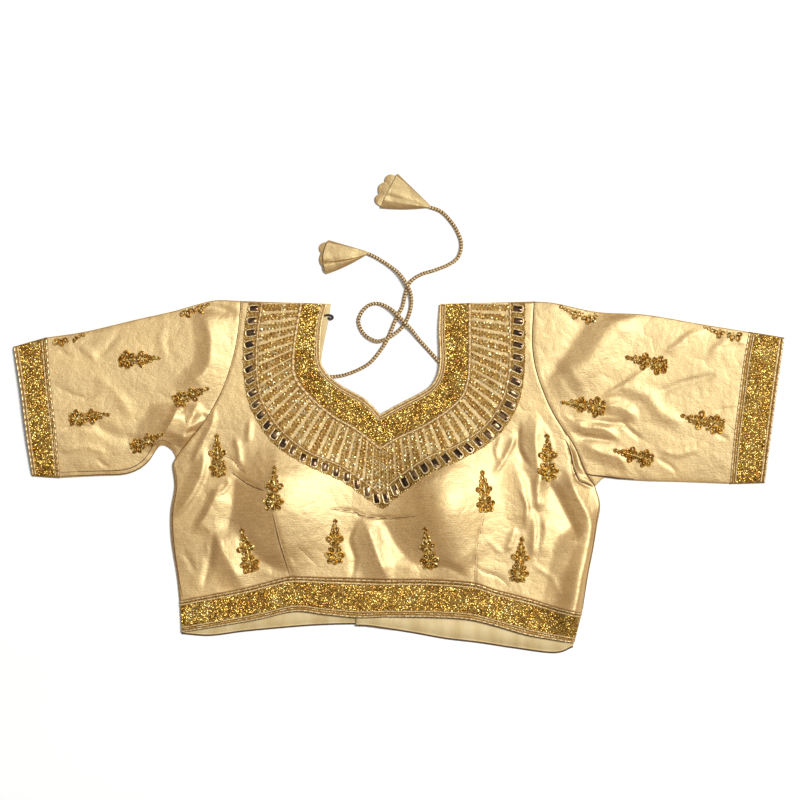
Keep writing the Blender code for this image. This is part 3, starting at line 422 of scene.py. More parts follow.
# How the cloth lies: low along its folded edges, lofted inside them, with cups, darts, folds and creases
lay = {
    "edge": 3.0, "rise": 3.3, "reach": 25.0,
    "cups": [(-122, -30, 11.5, 50, 52), (55, -30, 14, 46, 52)],  # x, y, height, reach in x and y
    "seamDepth": 0.45, "seamWidth": 1.2, "dartDepth": 1.1, "dartWidth": 1.1,
    "darts": [[(-118, -112), (-130, -74), (-138, -40)], [(83, -117.5), (84, -88), (93.5, -44)]],
    # height (below 0 for a valley), widths to the right and left along the line, 1 crisp or 0 soft, the line
    "front": [
        (2.8, 15, 7, 1, [(-214, 34), (-216, 8), (-223, -12), (-236, -32), (-250, -46)]),
        (1.6, 7, 6, 1, [(-203, 74), (-206, 56), (-215, 38), (-228, 14)]),
        (2.8, 8, 22, 1, [(-198, -12), (-206, -30), (-214, -46), (-226, -62)]),
        (-2.4, 16, 28, 1, [(-177, 4), (-181, -12), (-184, -38), (-191, -66)]),
        (5.0, 44, 60, 1, [(-134, 34), (-139, -20), (-137, -44), (-128, -76), (-118, -110)]),
        (3.8, 20, 26, 1, [(-203, -60), (-193, -84), (-182, -104), (-171, -124)]),
        (-1.4, 6, 8, 1, [(-204, -62), (-208, -90), (-216, -124)]),
        (-1.8, 10, 14, 1, [(-178, -68), (-160, -84), (-146, -97), (-120, -106)]),
        (1.4, 5, 6, 1, [(-181, 44), (-177, 30), (-174, 10)]), (1.2, 5, 6, 1, [(-164, 62), (-166, 36)]),
        (-1.3, 1.8, 3.4, 1, creases["besideArmhole"]),
        (-1.6, 2.0, 4.2, 1, creases["aboveCup"]),
        (0.8, 2, 2, 1, [(-155, 27), (-148, 17)]), (0.9, 2, 2.4, 1, [(-160, 17), (-147, 1)]),
        (1.2, 4, 4, 1, [(-192, -2), (-187, -8), (-194, -18)]),
        (1.0, 3, 4, 1, [(-208, -14), (-198, -19), (-190, -16)]),
        (-0.6, 2, 3, 1, creases["besideLeftDart"]), (-0.5, 2, 3, 1, [(-122, -84), (-112, -98)]),
        (4.8, 24, 14, 1, [(-41, -45), (-33, -60), (-24, -86), (-11, -116)]),
        (-1.4, 7, 4, 1, [(-46, -48), (-55, -70), (-49, -90), (-52, -114)]),
        (-2.6, 14, 28, 1, [(-24, -44), (-14, -56), (-3, -76), (16, -98)]),
        (4.6, 34, 40, 0, [(26, 8), (40, -22), (46, -52), (58, -80), (76, -104)]),
        (-1.6, 12, 8, 1, [(12, -94), (34, -99), (54, -100), (76, -112)]),
        (-1.5, 1.8, 3.0, 1, creases["cups"]),
        (1.9, 6, 3.5, 1, [(130, 48), (122, 30), (113, 14), (103, 0)]),
        (1.0, 4, 4, 1, [(112, 44), (107, 28), (112, 12)]),
        (3.2, 19, 14, 1, [(151, 64), (150, 38), (152, 16), (154, 2), (159, -7)]),
        (-1.6, 7, 5, 1, [(133, 60), (130, 38), (136, 20), (146, 8)]),
        (2.6, 26, 9, 1, [(126, 14), (134, -6), (141, -32), (140, -60)]),
        (3.0, 9, 12, 1, [(155, 4), (152, -16), (153, -40)]),
        (2.2, 8, 6, 1, [(147, -36), (149, -60), (147, -94)]),
        (1.3, 4, 3, 1, [(132, -12), (141, -34), (138, -58)]),
        (1.5, 7, 5, 1, [(128, -56), (124, -70), (118, -84)]),
        (6.2, 19, 20, 1, [(184, 6), (195, -20), (208, -46), (216, -78)]),
        (-2.6, 15, 10, 1, [(160, 0), (172, -20), (183, -42), (197, -70)]),
        (1.6, 7, 16, 1, [(158, -42), (160, -62), (154, -88)]),
        (-1.6, 12, 26, 0, [(198, -76), (184, -104), (172, -144)]),
        (15.0, 46, 5, 1, [(222, -50), (218, -76), (211, -104), (205, -138), (199, -182)]),
        (4.0, 26, 8, 0, [(206, -100), (200, -120), (194, -146), (186, -176)]),
        (-2.0, 2.2, 2.6, 1, [(182, 40), (188, 26), (191, 10), (195, -3), (203, -9), (219, -16)]),
        (1.7, 5, 5, 1, [(194, 32), (198, 12), (205, 0)]), (1.1, 3, 3, 1, [(197, 0), (208, -6), (218, -12)]),
        (-1.0, 2.4, 3, 1, [(178, 60), (184, 46), (189, 30)]),
        (0.8, 4, 4, 1, [(158, 58), (166, 40), (170, 24)]),
        (-0.6, 2, 3, 1, creases["besideRightDart"]), (0.5, 5, 5, 0, [(96, -70), (112, -84)]),
        (0.5, 4, 4, 0, [(150, -100), (168, -112), (176, -130)]), (-0.5, 4, 4, 0, [(-238, -80), (-226, -104)]),
    ],
    "left": [
        (3.4, 18, 30, 1, [(-222, 184), (-209, 160), (-209, 126), (-220, 108), (-246, 97)]),
        (5.6, 27, 11, 1, [(-222, 80), (-228, 62), (-235, 46), (-241, 32)]),
        (6.0, 30, 20, 1, [(-242, 80), (-249, 62), (-258, 46), (-270, 22)]),
        (-1.8, 10, 8, 0, [(-240, 184), (-208, 186), (-184, 180)]),
        (-1.3, 2, 3, 1, [(-240, 74), (-233, 60)]), (1.2, 4, 4, 1, [(-232, 52), (-222, 57), (-214, 64)]),
        (0.9, 3, 4, 1, [(-224, 80), (-214, 70), (-206, 66)]),
        (-0.8, 3, 4, 1, [(-238, 44), (-226, 50), (-218, 48)]),
        (-0.9, 8, 10, 0, [(-336, 58), (-312, 44), (-292, 40)]),
        (0.4, 8, 8, 0, [(-336, 112), (-312, 92), (-296, 70)]),
        (-0.35, 5, 6, 1, [(-306, 164), (-316, 146), (-334, 132)]),
        (0.3, 6, 8, 1, [(-258, 168), (-262, 150), (-256, 128)]),
        (-0.8, 3, 4, 1, [(-372, 50), (-352, 55), (-334, 52)]),
        (-0.5, 4, 4, 0, [(-372, 96), (-348, 86), (-330, 92)]),
        (-0.7, 3, 3, 1, [(-334, 20), (-324, 12), (-316, 8)]), (0.5, 5, 5, 0, [(-352, 146), (-334, 128)]),
        (-0.5, 4, 4, 1, [(-374, 138), (-358, 130)]), (0.5, 5, 5, 0, [(-366, 28), (-344, 32), (-322, 24)]),
    ],
    "right": [
        (4.0, 22, 26, 0, [(250, 180), (226, 152), (208, 124), (182, 104)]),
        (-1.2, 14, 10, 0, [(208, 176), (190, 146), (166, 112)]),
        (1.5, 5, 10, 1, [(272, 118), (254, 105), (238, 95), (222, 86)]),
        (1.2, 6, 10, 1, [(338, 162), (318, 154), (304, 142), (290, 136)]),
        (1.4, 12, 10, 0, [(250, 96), (272, 90), (288, 70), (306, 60)]),
        (-1.0, 6, 6, 0, [(286, 92), (312, 102), (344, 110)]),
        (2.0, 12, 9, 1, [(222, 78), (244, 76), (262, 64)]),
        (-1.2, 5, 7, 1, [(212, 60), (236, 58), (258, 58)]),
        (2.0, 10, 8, 1, [(186, 58), (206, 54), (226, 52), (240, 42)]),
        (-1.3, 5, 6, 1, [(184, 48), (202, 42), (226, 40), (242, 38)]),
        (2.2, 14, 12, 1, [(200, 38), (218, 28), (242, 20), (250, 6)]),
        (-1.2, 4, 4, 1, [(244, 60), (256, 48), (268, 40)]),
        (0.9, 2.5, 3, 1, [(180, 66), (194, 60), (210, 60)]),
        (0.9, 2.5, 3, 1, [(186, 46), (198, 43), (204, 45)]),
        (-0.8, 3, 4, 1, [(282, 20), (296, 12), (306, 4)]), (-0.8, 3, 3, 1, [(350, 46), (362, 40)]),
        (-0.7, 3, 3, 1, [(350, 72), (368, 76)]), (1.0, 7, 7, 0, [(382, 148), (362, 150), (344, 134)]),
        (0.6, 5, 5, 0, [(330, 30), (306, 24), (288, 28)]), (-0.6, 4, 4, 0, [(196, 168), (182, 178)]),
    ],
}


def foldHeight(rows, x, y):
    height = np.zeros(np.shape(x))
    for tall, right, left, crisp, points in rows:
        line = smooth(points, 4 * len(points) - 3)
        away, share, side = nearLine(line, x, y)
        taper = np.minimum(1, 4 * np.minimum(share, 1 - share) + (0.1 if crisp else 0.5))
        reach = away / np.where(side > 0, left, right) / (0.45 + 0.55 * np.minimum(1, taper * 1.2))
        height += tall * taper * (np.clip(1 - reach, 0, 1) ** 1.25 if crisp else np.exp(-2 * reach**2))
    return height


def clothTop(place, plan):  # the height of the front or of a sleeve
    x, y = plan[..., 0], plan[..., 1]
    edge = np.full(np.shape(x), 1e9)
    for line in outline:
        edge = np.minimum(edge, nearLine(line, x, y)[0])
    height = lay["edge"] + lay["rise"] * (1 - np.exp(-edge / lay["reach"]))
    height = height + foldHeight(lay[place], x, y) * (1 - np.exp(-edge / 5))
    for side in sides:
        if place in ("front", side):
            away = nearLine(armholes[side], x, y)[0]
            height -= lay["seamDepth"] * np.exp(-((away / lay["seamWidth"]) ** 2))
    if place == "front":
        for cx, cy, tall, reachX, reachY in lay["cups"]:
            height += tall * np.exp(-(((x - cx) / reachX) ** 2) - ((y - cy) / reachY) ** 2)
        for dart in lay["darts"]:
            away, share, _ = nearLine(smooth(dart, 9), x, y)
            height -= lay["dartDepth"] * np.exp(-away / lay["dartWidth"]) * np.minimum(1, 4 * (1 - share))
    return height


def clothNormals(place, plan, step=0.7):
    slopes = [(clothTop(place, plan + way) - clothTop(place, plan - way)) / (2 * step)
              for way in ((step, 0), (0, step))]
    normals = np.stack([-slopes[0], -slopes[1], np.ones(len(plan))], axis=-1)
    return normals / np.linalg.norm(normals, axis=-1)[..., None]


def patch(inner, outer, bottom, top):  # plan points [row, column] between two side lines and two end lines
    v = np.linspace(0, 1, len(inner))[:, None, None]
    u = np.linspace(0, 1, len(bottom))[None, :, None]
    low = bottom - between(bottom[0], bottom[-1], u[0])
    high = top - between(top[0], top[-1], u[0])
    return between(inner[:, None], outer[:, None], u) + between(low, high, v)


def raised(plan, height):
    height = np.broadcast_to(np.asarray(height, float), plan.shape[:-1])
    return np.concatenate([plan, height[..., None]], axis=-1)


def onCloth(place, plan, lift=0.0):
    return raised(plan, clothTop(place, plan) + lift)


# Parts of a mesh are (points, faces); these make them
def fan(ring, middle, down=False):  # triangles between a ring of points and one more
    faces = np.stack([ring, np.roll(ring, -1), np.full(len(ring), middle)], axis=1)
    return faces[:, [1, 0, 2]] if down else faces


def gridPart(points, ring=False):
    rows, columns = points.shape[:2]
    i, j = np.meshgrid(np.arange(rows - 1), np.arange(columns if ring else columns - 1), indexing="ij")
    k = (j + 1) % columns
    low, high = i * columns, (i + 1) * columns
    faces = np.stack([low + j, low + k, high + k, high + j], axis=-1)
    return points.reshape(-1, 3), faces.reshape(-1, 4)


def slabPart(top, under):  # a closed body between two grids
    rows, columns = top.shape[:2]
    points, faces = gridPart(top)
    below = faces[:, ::-1] + len(points)
    number = np.arange(rows * columns).reshape(rows, columns)
    rim = np.concatenate([number[0], number[1:-1, -1], number[-1, ::-1], number[1:-1, 0][::-1]])
    after = np.roll(rim, -1)
    walls = np.stack([after, rim, rim + len(points), after + len(points)], axis=1)
    return np.vstack([points, under.reshape(-1, 3)]), np.vstack([faces, below, walls])


def tubePart(line, radius, around=8, lobes=None):  # a closed tube; lobes are (count, depth, pitch, braided)
    tangents = np.gradient(line, axis=0)
    tangents /= np.linalg.norm(tangents, axis=1)[:, None]
    across = np.cross((0, 0, 1), tangents)
    across /= np.maximum(np.linalg.norm(across, axis=1), 1e-9)[:, None]
    up = np.cross(tangents, across)
    turns = np.linspace(0, 2 * math.pi, around, endpoint=False)
    size = np.broadcast_to(np.reshape(radius, (-1, 1)), (len(line), around)).astype(float)
    wave = size
    if lobes:
        count, depth, pitch, braided = lobes
        along = distances(line)[:, None]
        wave = np.abs(np.cos(count / 2 * (turns - 2 * math.pi * along / pitch)))
        if braided:
            slant = np.abs(np.arctan2(np.sin(turns - math.pi / 2), np.cos(turns - math.pi / 2)))
            wave = np.abs(np.sin(math.pi * along / pitch + 1.25 * slant))
        size = radius * (1 - depth + depth * wave)
    rings = line[:, None] + size[..., None] * (
        np.cos(turns)[None, :, None] * across[:, None] + np.sin(turns)[None, :, None] * up[:, None])
    points, faces = gridPart(rings, ring=True)
    # the grooves take a dark look of their own: painted shade in the braid's grooves
    if lobes and lobes[3]:  # the grooves of a braid come last, for a look of their own
        low = (wave[:-1] < 0.6).ravel()
        faces, grooves = faces[~low], faces[low]
    points = np.vstack([points, line[:1], line[-1:]])
    first, last = np.arange(around), np.arange(around) + around * (len(line) - 1)
    caps = np.vstack([fan(first, len(points) - 2, down=True), fan(last, len(points) - 1)])
    return (points, faces, caps, grooves) if lobes and lobes[3] else (points, faces, caps)


def sequinShape(corners=5):  # a shallow cup, closed below
    turns = np.linspace(0, 2 * math.pi, corners, endpoint=False)
    rim = np.stack([np.cos(turns), np.sin(turns), 0 * turns], axis=1)
    points = np.vstack([rim, [(0, 0, 0.34), (0, 0, -0.12)]])
    ring = np.arange(corners)
    return points, np.vstack([fan(ring, corners), fan(ring, corners + 1, down=True)])


def beadShape(around=6):  # a low round bead
    turns = np.linspace(0, 2 * math.pi, around, endpoint=False)
    rings = [np.stack([r * np.cos(turns), r * np.sin(turns), np.full(around, z)], axis=1)
             for r, z in ((0.72, -0.5), (1.0, 0.1), (0.7, 0.72))]
    points = np.vstack(rings + [[(0, 0, -0.8), (0, 0, 1.0)]])
    ring = np.arange(around)
    after = np.roll(ring, -1)
    faces = []
    for low in (0, around):
        faces += [np.stack([ring + low, after + low, after + low + around], axis=1),
                  np.stack([ring + low, after + low + around, ring + low + around], axis=1)]
    faces += [fan(ring, 3 * around, down=True), fan(ring + 2 * around, 3 * around + 1)]
    return points, np.vstack(faces)


def ringShape(wire, around, section):  # a ring of outer radius 1
    turns = np.linspace(0, 2 * math.pi, around, endpoint=False)
    angles = np.linspace(0, 2 * math.pi, section, endpoint=False)
    reach = 1 - wire + wire * np.cos(angles)[None, :]
    points = np.stack([reach * np.cos(turns)[:, None], reach * np.sin(turns)[:, None],
                       np.broadcast_to(wire * np.sin(angles), (around, section))], axis=-1)
    i, j = np.meshgrid(np.arange(around), np.arange(section), indexing="ij")
    k, m = (i + 1) % around, (j + 1) % section
    faces = np.stack([i * section + j, k * section + j, k * section + m, i * section + m], axis=-1)
    return points.reshape(-1, 3), faces.reshape(-1, 4)


# Many copies of a shape, each at its own point, way up, heading and size
def stamp(shape, origins, normals, headings, sizes):
    points, faces = shape
    normals = normals / np.linalg.norm(normals, axis=1)[:, None]
    heads = np.stack([np.cos(headings), np.sin(headings), 0 * headings], axis=1)
    heads -= normals * (heads * normals).sum(axis=1)[:, None]
    heads /= np.linalg.norm(heads, axis=1)[:, None]
    flanks = np.cross(normals, heads)
    sizes = np.reshape(sizes, (-1, 1)) if np.ndim(sizes) < 2 else sizes
    local = points[None] * sizes[:, None]
    placed = origins[:, None] + (local[..., :1] * heads[:, None] + local[..., 1:2] * flanks[:, None]
                                 + local[..., 2:] * normals[:, None])
    offsets = (np.arange(len(origins)) * len(points))[:, None, None]
    return placed.reshape(-1, 3), (faces[None] + offsets).reshape(-1, faces.shape[1])


def sewn(place, shape, plan, lift, lean=0.0, turns=0.0, sizes=1.0):  # copies of a shape on the cloth
    return stamp(shape, onCloth(place, plan, lift), clothNormals(place, plan) + lean,
                 np.broadcast_to(turns, len(plan)), sizes)


def stripPart(place, plan, over, under):  # a strip on the cloth, its faces so far above the cloth's
    tops = clothTop(place, plan)
    return slabPart(raised(plan, tops + over), raised(plan, tops + under))


# A piece of the blouse from its parts: points, then faces in one or more arrays, and the number of their look
def piece(name, parts, names, nodes=(), sharp=40, wall=None):
    points, loops, starts, indices, count, filled = [], [], [], [], 0, 0
    for part, look in parts:
        for faces, index in zip(part[1:], look if isinstance(look, tuple) else (look,) * len(part)):
            loops.append((faces + count).ravel())
            starts.append(filled + np.arange(len(faces)) * faces.shape[1])
            indices.append(np.full(len(faces), index))
            filled += faces.size
        points.append(part[0])
        count += len(part[0])
    mesh = bpy.data.meshes.new(name)
    mesh.vertices.add(count)
    mesh.vertices.foreach_set("co", (np.vstack(points) * mm).astype(np.float32).ravel())
    mesh.loops.add(filled)
    mesh.loops.foreach_set("vertex_index", np.concatenate(loops).astype(np.int32))
    starts = np.concatenate(starts).astype(np.int32)
    mesh.polygons.add(len(starts))
    mesh.polygons.foreach_set("loop_start", starts)
    mesh.polygons.foreach_set("material_index", np.concatenate(indices).astype(np.int32))
    mesh.update(calc_edges=True)
    mesh.validate()
    for look in names:
        mesh.materials.append(looks[look])
    if sharp:
        mesh.shade_smooth()
        mesh.set_sharp_from_angle(angle=math.radians(sharp))
    made = bpy.data.objects.new(name, mesh)
    bpy.context.scene.collection.objects.link(made)
    if wall:
        weld = made.modifiers.new("joined halves", "WELD")
        weld.merge_threshold = 0.00005
        shell = made.modifiers.new("cloth wall", "SOLIDIFY")
        shell.thickness, shell.offset, shell.use_even_offset = wall * mm, -1, True
    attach(made, "root")
    if nodes:
        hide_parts(*nodes)
    return made


# Tie cords of braided silk: the route's points from the cloth end to the back neck
ties = {
    "diameter": 4.2, "pitch": 3.3, "step": 0.41, "lowest": 2.05, "braidDepth": 0.26,
    "left": [
        (32.6, 296.1, 2.4), (46, 291, 2.1), (57, 280, 2), (65, 267, 2), (68.5, 254, 2), (65, 241, 2),
        (55.5, 233, 2), (39.5, 226.5, 2), (25, 222, 2), (15, 216, 2), (10, 209.5, 2), (6.5, 199, 2),
        (3.5, 186, 2), (-3.5, 172.5, 2), (-12.5, 151, 2), (-20.5, 138, 2), (-31.5, 125, 2), (-44.5, 117, 2),
        (-60.5, 111, 2), (-75, 109, 2), (-85.7, 108, 2)],
    "right": [
        (-34.6, 244.9, 2.4), (-22, 238.5, 2.2), (-9, 230, 3.2), (0.5, 222, 5.2), (8.5, 210.5, 6.8),
        (13, 199, 4.6), (13, 186, 2.2), (8.5, 171.5, 2), (0.5, 160.5, 3.8), (-12.5, 151.5, 6.8),
        (-25, 148.5, 4.4), (-38, 155.5, 2.2), (-44.5, 168.5, 2), (-41.5, 179.5, 2), (-33, 188, 2),
        (-22, 189.5, 2.8), (-10.5, 184.5, 5.2), (-1.7, 177, 6.8), (5.8, 169, 6.9), (13.5, 161, 5.0),
        (23, 149, 2.6), (36, 134.5, 2), (45.0, 124.3, 2)],
}


def makeTie(side):
    count = round(lengthOf(np.array(ties[side])) / ties["step"])
    line = smooth(ties[side], count)
    line[:, 2] = np.maximum(line[:, 2], ties["lowest"])
    tube = tubePart(line, ties["diameter"] / 2, 14, (2, ties["braidDepth"], ties["pitch"], True))
    made = piece("tieCord" + side.title(), [(tube, (0, 0, 1))], ["cord", "cordShade"],
                 [f"dori_{side}"], sharp=None)
    made.data.shade_smooth()
    return made, line


# Folded cloth ends: the neck, the two corners of the mouth, where a flap's edge lies across it (0 at the
# first corner, 1 at the second), and petals as middle, heading in degrees, reach and half width
ends = {
    "left": {"neck": (33.0, 296.4), "mouth": [(-1.5, 332.5), (-20.8, 294.6)], "flap": None, "bulge": 0.5,
             "petals": [(-8.5, 324.5, 140, 7.5, 6.5), (-12.5, 313.5, 150, 11.0, 8.5),
                        (-17.5, 303.0, 158, 9.0, 6.5)]},
    "right": {"neck": (-35.2, 245.2), "mouth": [(-77.5, 259.5), (-79.5, 222.0)], "flap": 0.64, "bulge": 5.0,
              "petals": [(-78.5, 250.0, 172, 9.5, 7.0), (-80.5, 238.5, 178, 7.0, 8.5),
                         (-79.5, 229.0, 190, 4.5, 6.0)]},
}


def makeEnd(side):
    values = ends[side]
    neck, first, last = (np.array(p, float) for p in (values["neck"], *values["mouth"]))
    t = np.linspace(0, 1, 40)[:, None, None]
    v = np.linspace(-1, 1, 49)[None, :, None]
    away = (last - first) / np.linalg.norm(last - first)
    outwards = ((first + last) / 2 - neck) / np.linalg.norm((first + last) / 2 - neck)
    rim = (first + last) / 2 + v * (last - first) / 2 + (1 - v**2) * values["bulge"] * outwards
    start = neck + v * 1.9 * away
    plan = start + (rim - start) * t + np.maximum(0, v) ** 2 * np.sin(math.pi * t) * 1.6 * away
    u = v[..., 0]
    belly = np.minimum(np.clip((1 + u) * 9, 0, 1), np.sqrt(np.clip((1 - u) * 2.2, 0, 1)))
    high = (3.0 + 1.6 * t[..., 0]) * (0.3 + 0.7 * belly) + 1.3
    high = high + 0.35 * np.exp(-(((u + 0.1 - 0.25 * t[..., 0]) / 0.22) ** 2)) * t[..., 0]
    high = high - 0.5 * np.exp(-(((u - 0.25) / 0.12) ** 2)) * np.clip(3 * (t[..., 0] - 0.6), 0, 1)
    if values["flap"] is not None:
        line = 2 * values["flap"] - 1 + 0.42 * (1 - t[..., 0])
        high = high + 0.6 * (u < line) * np.clip(4 * (t[..., 0] - 0.12), 0, 1)
        high = high - 0.9 * np.exp(-np.abs(u - line - 0.02) / 0.035) * np.clip(4 * (t[..., 0] - 0.12), 0, 1)
    under = np.full(high.shape, 0.25) + 1.4 * (1 - belly)
    parts = [(slabPart(raised(plan, high), raised(plan, np.minimum(under, high - 0.9))), 0)]
    cone = piece("clothEnd" + side.title(), parts, ["silkEnds"], [f"latkan_{side}"], sharp=50)
    lobes = []
    for number, (x, y, angle, reach, half) in enumerate(values["petals"]):
        turn = math.radians(angle)
        along = np.array([math.cos(turn), math.sin(turn)])
        across = np.array([-math.sin(turn), math.cos(turn)])
        s = np.linspace(-0.5, 1, 15)[:, None]
        w = np.linspace(-1, 1, 17)[None, :]
        wide = half * np.sqrt(np.maximum(0.02, 1 - np.maximum(s, 0) ** 2.6))
        plan = np.array([x, y]) + s[..., None] * reach * along + (w * wide)[..., None] * across
        top = 1.5 + 0.7 * number + 1.4 * (1 - 0.6 * np.maximum(s, 0)) * (1 - 0.3 * w**2) + 0.5 * w * (1 - s)
        top = np.minimum(top, 3.6 + 0.5 * s)
        lobes.append((slabPart(raised(plan, top), raised(plan, np.full(top.shape, 0.3 + 0.25 * number))), 0))
    petals = piece(f"clothEnd{side.title()}Petals", lobes, ["silkEnds"], [f"latkan_{side}_petals"],
                   sharp=50)
    return cone, petals


for side in sides:
    tie, line = makeTie(side)
    made = makeEnd(side)
    print(side, "tie", round(lengthOf(line), 1), "mm")

# The front of the body
frontCloth = {"wall": 1.3, "bodyRows": 88, "yokeRows": 76, "columns": 104, "gap": 0.35}


def makeFront():
    parts = []
    for side in sides:
        neck = smooth(cut["neck"][side], frontCloth["yokeRows"] + 1)
        seam = smooth(cut["hemBandTop"][side], frontCloth["columns"] + 1) + (0, frontCloth["gap"])
        centre = spaced([seam[0], neck[0]], frontCloth["bodyRows"] + 1)
        sideLine = smooth([tuple(seam[-1])] + cut["side"][side], frontCloth["bodyRows"] + 1)
        armhole = smooth(cut["armhole"][side], frontCloth["yokeRows"] + 1)
        shoulder = spaced([neck[-1], armhole[-1]], frontCloth["columns"] + 1)
        plan = patch(np.vstack([centre, neck[1:]]), np.vstack([sideLine, armhole[1:]]), seam, shoulder)
        if side == "left":
            plan = plan[:, ::-1]
        parts.append((gridPart(onCloth("front", plan)), 0))
    return piece("frontCloth", parts, ["silkFront"], ["front_panel"], sharp=60,
                 wall=frontCloth["wall"])


front = makeFront()
print("front ready")

# The back, in two halves that lap at the centre
backCloth = {"top": 1.2, "lift": 2.4, "ramp": (-17.0, 1.0), "neckTurn": 40.0,
             "left": (-25.5, -62), "right": (-47.5, 22), "rows": 12, "columns": 40, "neckRows": 50,
             "roll": 0.75, "shade": 0.9, "stitch": (1.1, 0.22, 0.16), "stitchPitch": 4.2, "stitchInset": 5.0}


def backHalf(side):
    heading = signs[side]
    lapLift = lambda x: np.interp(x, backCloth["ramp"], (backCloth["lift"], 0)) if side == "right" else 0 * x
    places = np.linspace(*backCloth[side], 24)
    neck = smooth(cut["neckBack"], 320)[::heading]
    low = neck[neck[:, 1] < backCloth["neckTurn"]]
    lowNeck = np.stack([places, np.interp(heading * places, heading * low[:, 0], low[:, 1])], axis=1)
    high = neck[heading * (neck[:, 0] - places[-1]) > 0]
    high = spaced(np.vstack([lowNeck[-1:], high]), backCloth["neckRows"])
    hem = smooth(cut["hemBack"][side], 120)
    lowHem = np.stack([places, np.interp(heading * places, heading * hem[:, 0], hem[:, 1])], axis=1)
    farHem = np.vstack([lowHem[-1:], hem[heading * (hem[:, 0] - places[-1]) > 0]])
    farHem = spaced(farHem, backCloth["columns"])
    armhole = smooth(cut["armhole"][side], backCloth["neckRows"])
    across = spaced([high[0], armhole[0]], backCloth["columns"])
    bottom, top = np.vstack([lowHem, farHem[1:]]), np.vstack([lowNeck, across[1:]])
    centre = spaced([bottom[0], top[0]], backCloth["rows"])
    sideLine = smooth([tuple(bottom[-1])] + cut["side"][side], backCloth["rows"])
    shoulder = spaced([high[-1], armhole[-1]], backCloth["columns"])
    parts = []
    for plan in (patch(centre, sideLine, bottom, top), patch(high, armhole, across, shoulder)):
        if side == "left":
            plan = plan[:, ::-1]
        parts.append((gridPart(raised(plan, backCloth["top"] + lapLift(plan[..., 0]))), 0))
    made = piece("backCloth" + side.title(), parts, ["lining"], [f"back_{side}"], sharp=60,
                 wall=backCloth["top"] - 0.02)
    edge = smooth(cut["hemBack"][side], 200)
    lift = lapLift(edge[:, 0])
    rolled = raised(shifted(edge, heading * 0.9), backCloth["top"] + lift - 0.1)
    # a dark tube just outside the rolled hem: painted shadow along the back's hem
    under = raised(shifted(edge, -heading * 0.5), backCloth["top"] + lift - 0.25)
    marks = shifted(edge, heading * backCloth["stitchInset"])
    marks = atShares(marks, np.arange(0.01, 0.99, backCloth["stitchPitch"] / lengthOf(edge)))
    steps = np.gradient(marks, axis=0)
    stitches = stamp(beadShape(), raised(marks, backCloth["top"] + lapLift(marks[:, 0]) + 0.02),
                     np.tile((0, 0, 1.0), (len(marks), 1)), np.arctan2(steps[:, 1], steps[:, 0]),
                     np.tile(backCloth["stitch"], (len(marks), 1)))
    parts = [(tubePart(rolled, backCloth["roll"], 8), 0), (stitches, 1),
             (tubePart(under, backCloth["shade"], 8), 2)]
    piece("backHemRoll" + side.title(), parts, ["lining", "stitch", "shade"], sharp=50)
    return made


backs = [backHalf(side) for side in sides]
print("back ready")

# Sleeves and cuffs as flattened tubes
sleeveCloth = {
    "wall": 1.1, "gap": 0.5, "cuffGap": 0.35, "across": 92, "rings": 98, "under": 6, "foldSteps": 7,
}


def flatRing(line, tops, wall, lift=0.0):  # over the top, round one fold, back underneath and round the other
    middle = (lay["edge"] + lift) / 2
    radius = middle - wall
    turns = np.pi * (0.5 - np.arange(sleeveCloth["foldSteps"] + 1) / sleeveCloth["foldSteps"])
    folds = []
    for end, beside in ((line[-1], line[-4]), (line[0], line[3])):
        inwards = (beside - end) / np.linalg.norm(beside - end)
        centre = end + inwards * lay["edge"] / 2
        folds.append(np.concatenate([centre - inwards * (radius * np.cos(turns))[:, None],
                                     (middle + radius * np.sin(turns))[:, None]], axis=1))
    over = np.concatenate([line[2:-2], (tops[2:-2] + lift - wall)[:, None]], axis=1)
    under = line[4:-4:sleeveCloth["under"]][::-1]
    under = np.concatenate([under, np.full((len(under), 1), float(wall))], axis=1)
    return np.vstack([over, folds[0], under, folds[1][::-1]])


def openTube(outer, inner, side):
    outside, inside = gridPart(outer, ring=True), gridPart(inner, ring=True)
    count, columns, rows = len(outside[0]), outer.shape[1], outer.shape[0]
    ring = np.arange(columns)
    after = np.roll(ring, -1)
    last = ring + columns * (rows - 1)
    lastAfter = after + columns * (rows - 1)
    rims = np.vstack([np.stack([after, ring, ring + count, after + count], axis=1),
                      np.stack([last, lastAfter, lastAfter + count, last + count], axis=1)])
    faces = np.vstack([outside[1], inside[1][:, ::-1] + count, rims])
    return np.vstack([outside[0], inside[0]]), faces[:, ::signs[side]]


def sleeveTube(side, plan, lifts):
    tops = clothTop(side, plan)
    outer = [flatRing(line, top, 0, lift) for line, top, lift in zip(plan, tops, lifts)]
    inner = [flatRing(line, top, sleeveCloth["wall"]) for line, top in zip(plan, tops)]
    return openTube(np.stack(outer), np.stack(inner), side)


def sleeveLines(side):
    count = sleeveCloth["across"] + 1
    armhole = shifted(smooth(cut["armhole"][side], count), -signs[side] * sleeveCloth["gap"])
    seam, cuffEnd = (smooth(cut["sleeve"][side][name], count) for name in ("cuffSeam", "cuffEdge"))
    return armhole, seam, shifted(seam, -signs[side] * sleeveCloth["cuffGap"]), cuffEnd


def makeSleeve(side):
    armhole, seam, _, _ = sleeveLines(side)
    lower = spaced(sleeveFold(side, "lower", armhole[0], seam[0]), sleeveCloth["rings"])
    upper = spaced(sleeveFold(side, "upper", armhole[-1], seam[-1]), sleeveCloth["rings"])
    plan = patch(lower, upper, armhole, seam)
    tube = sleeveTube(side, plan, np.zeros(len(plan)))
    return piece("sleeve" + side.title(), [(tube, 0)], ["silk" + side.title()], [f"sleeve_{side}"],
                 sharp=60)


sleeves = {side: makeSleeve(side) for side in sides}
print("sleeves ready")

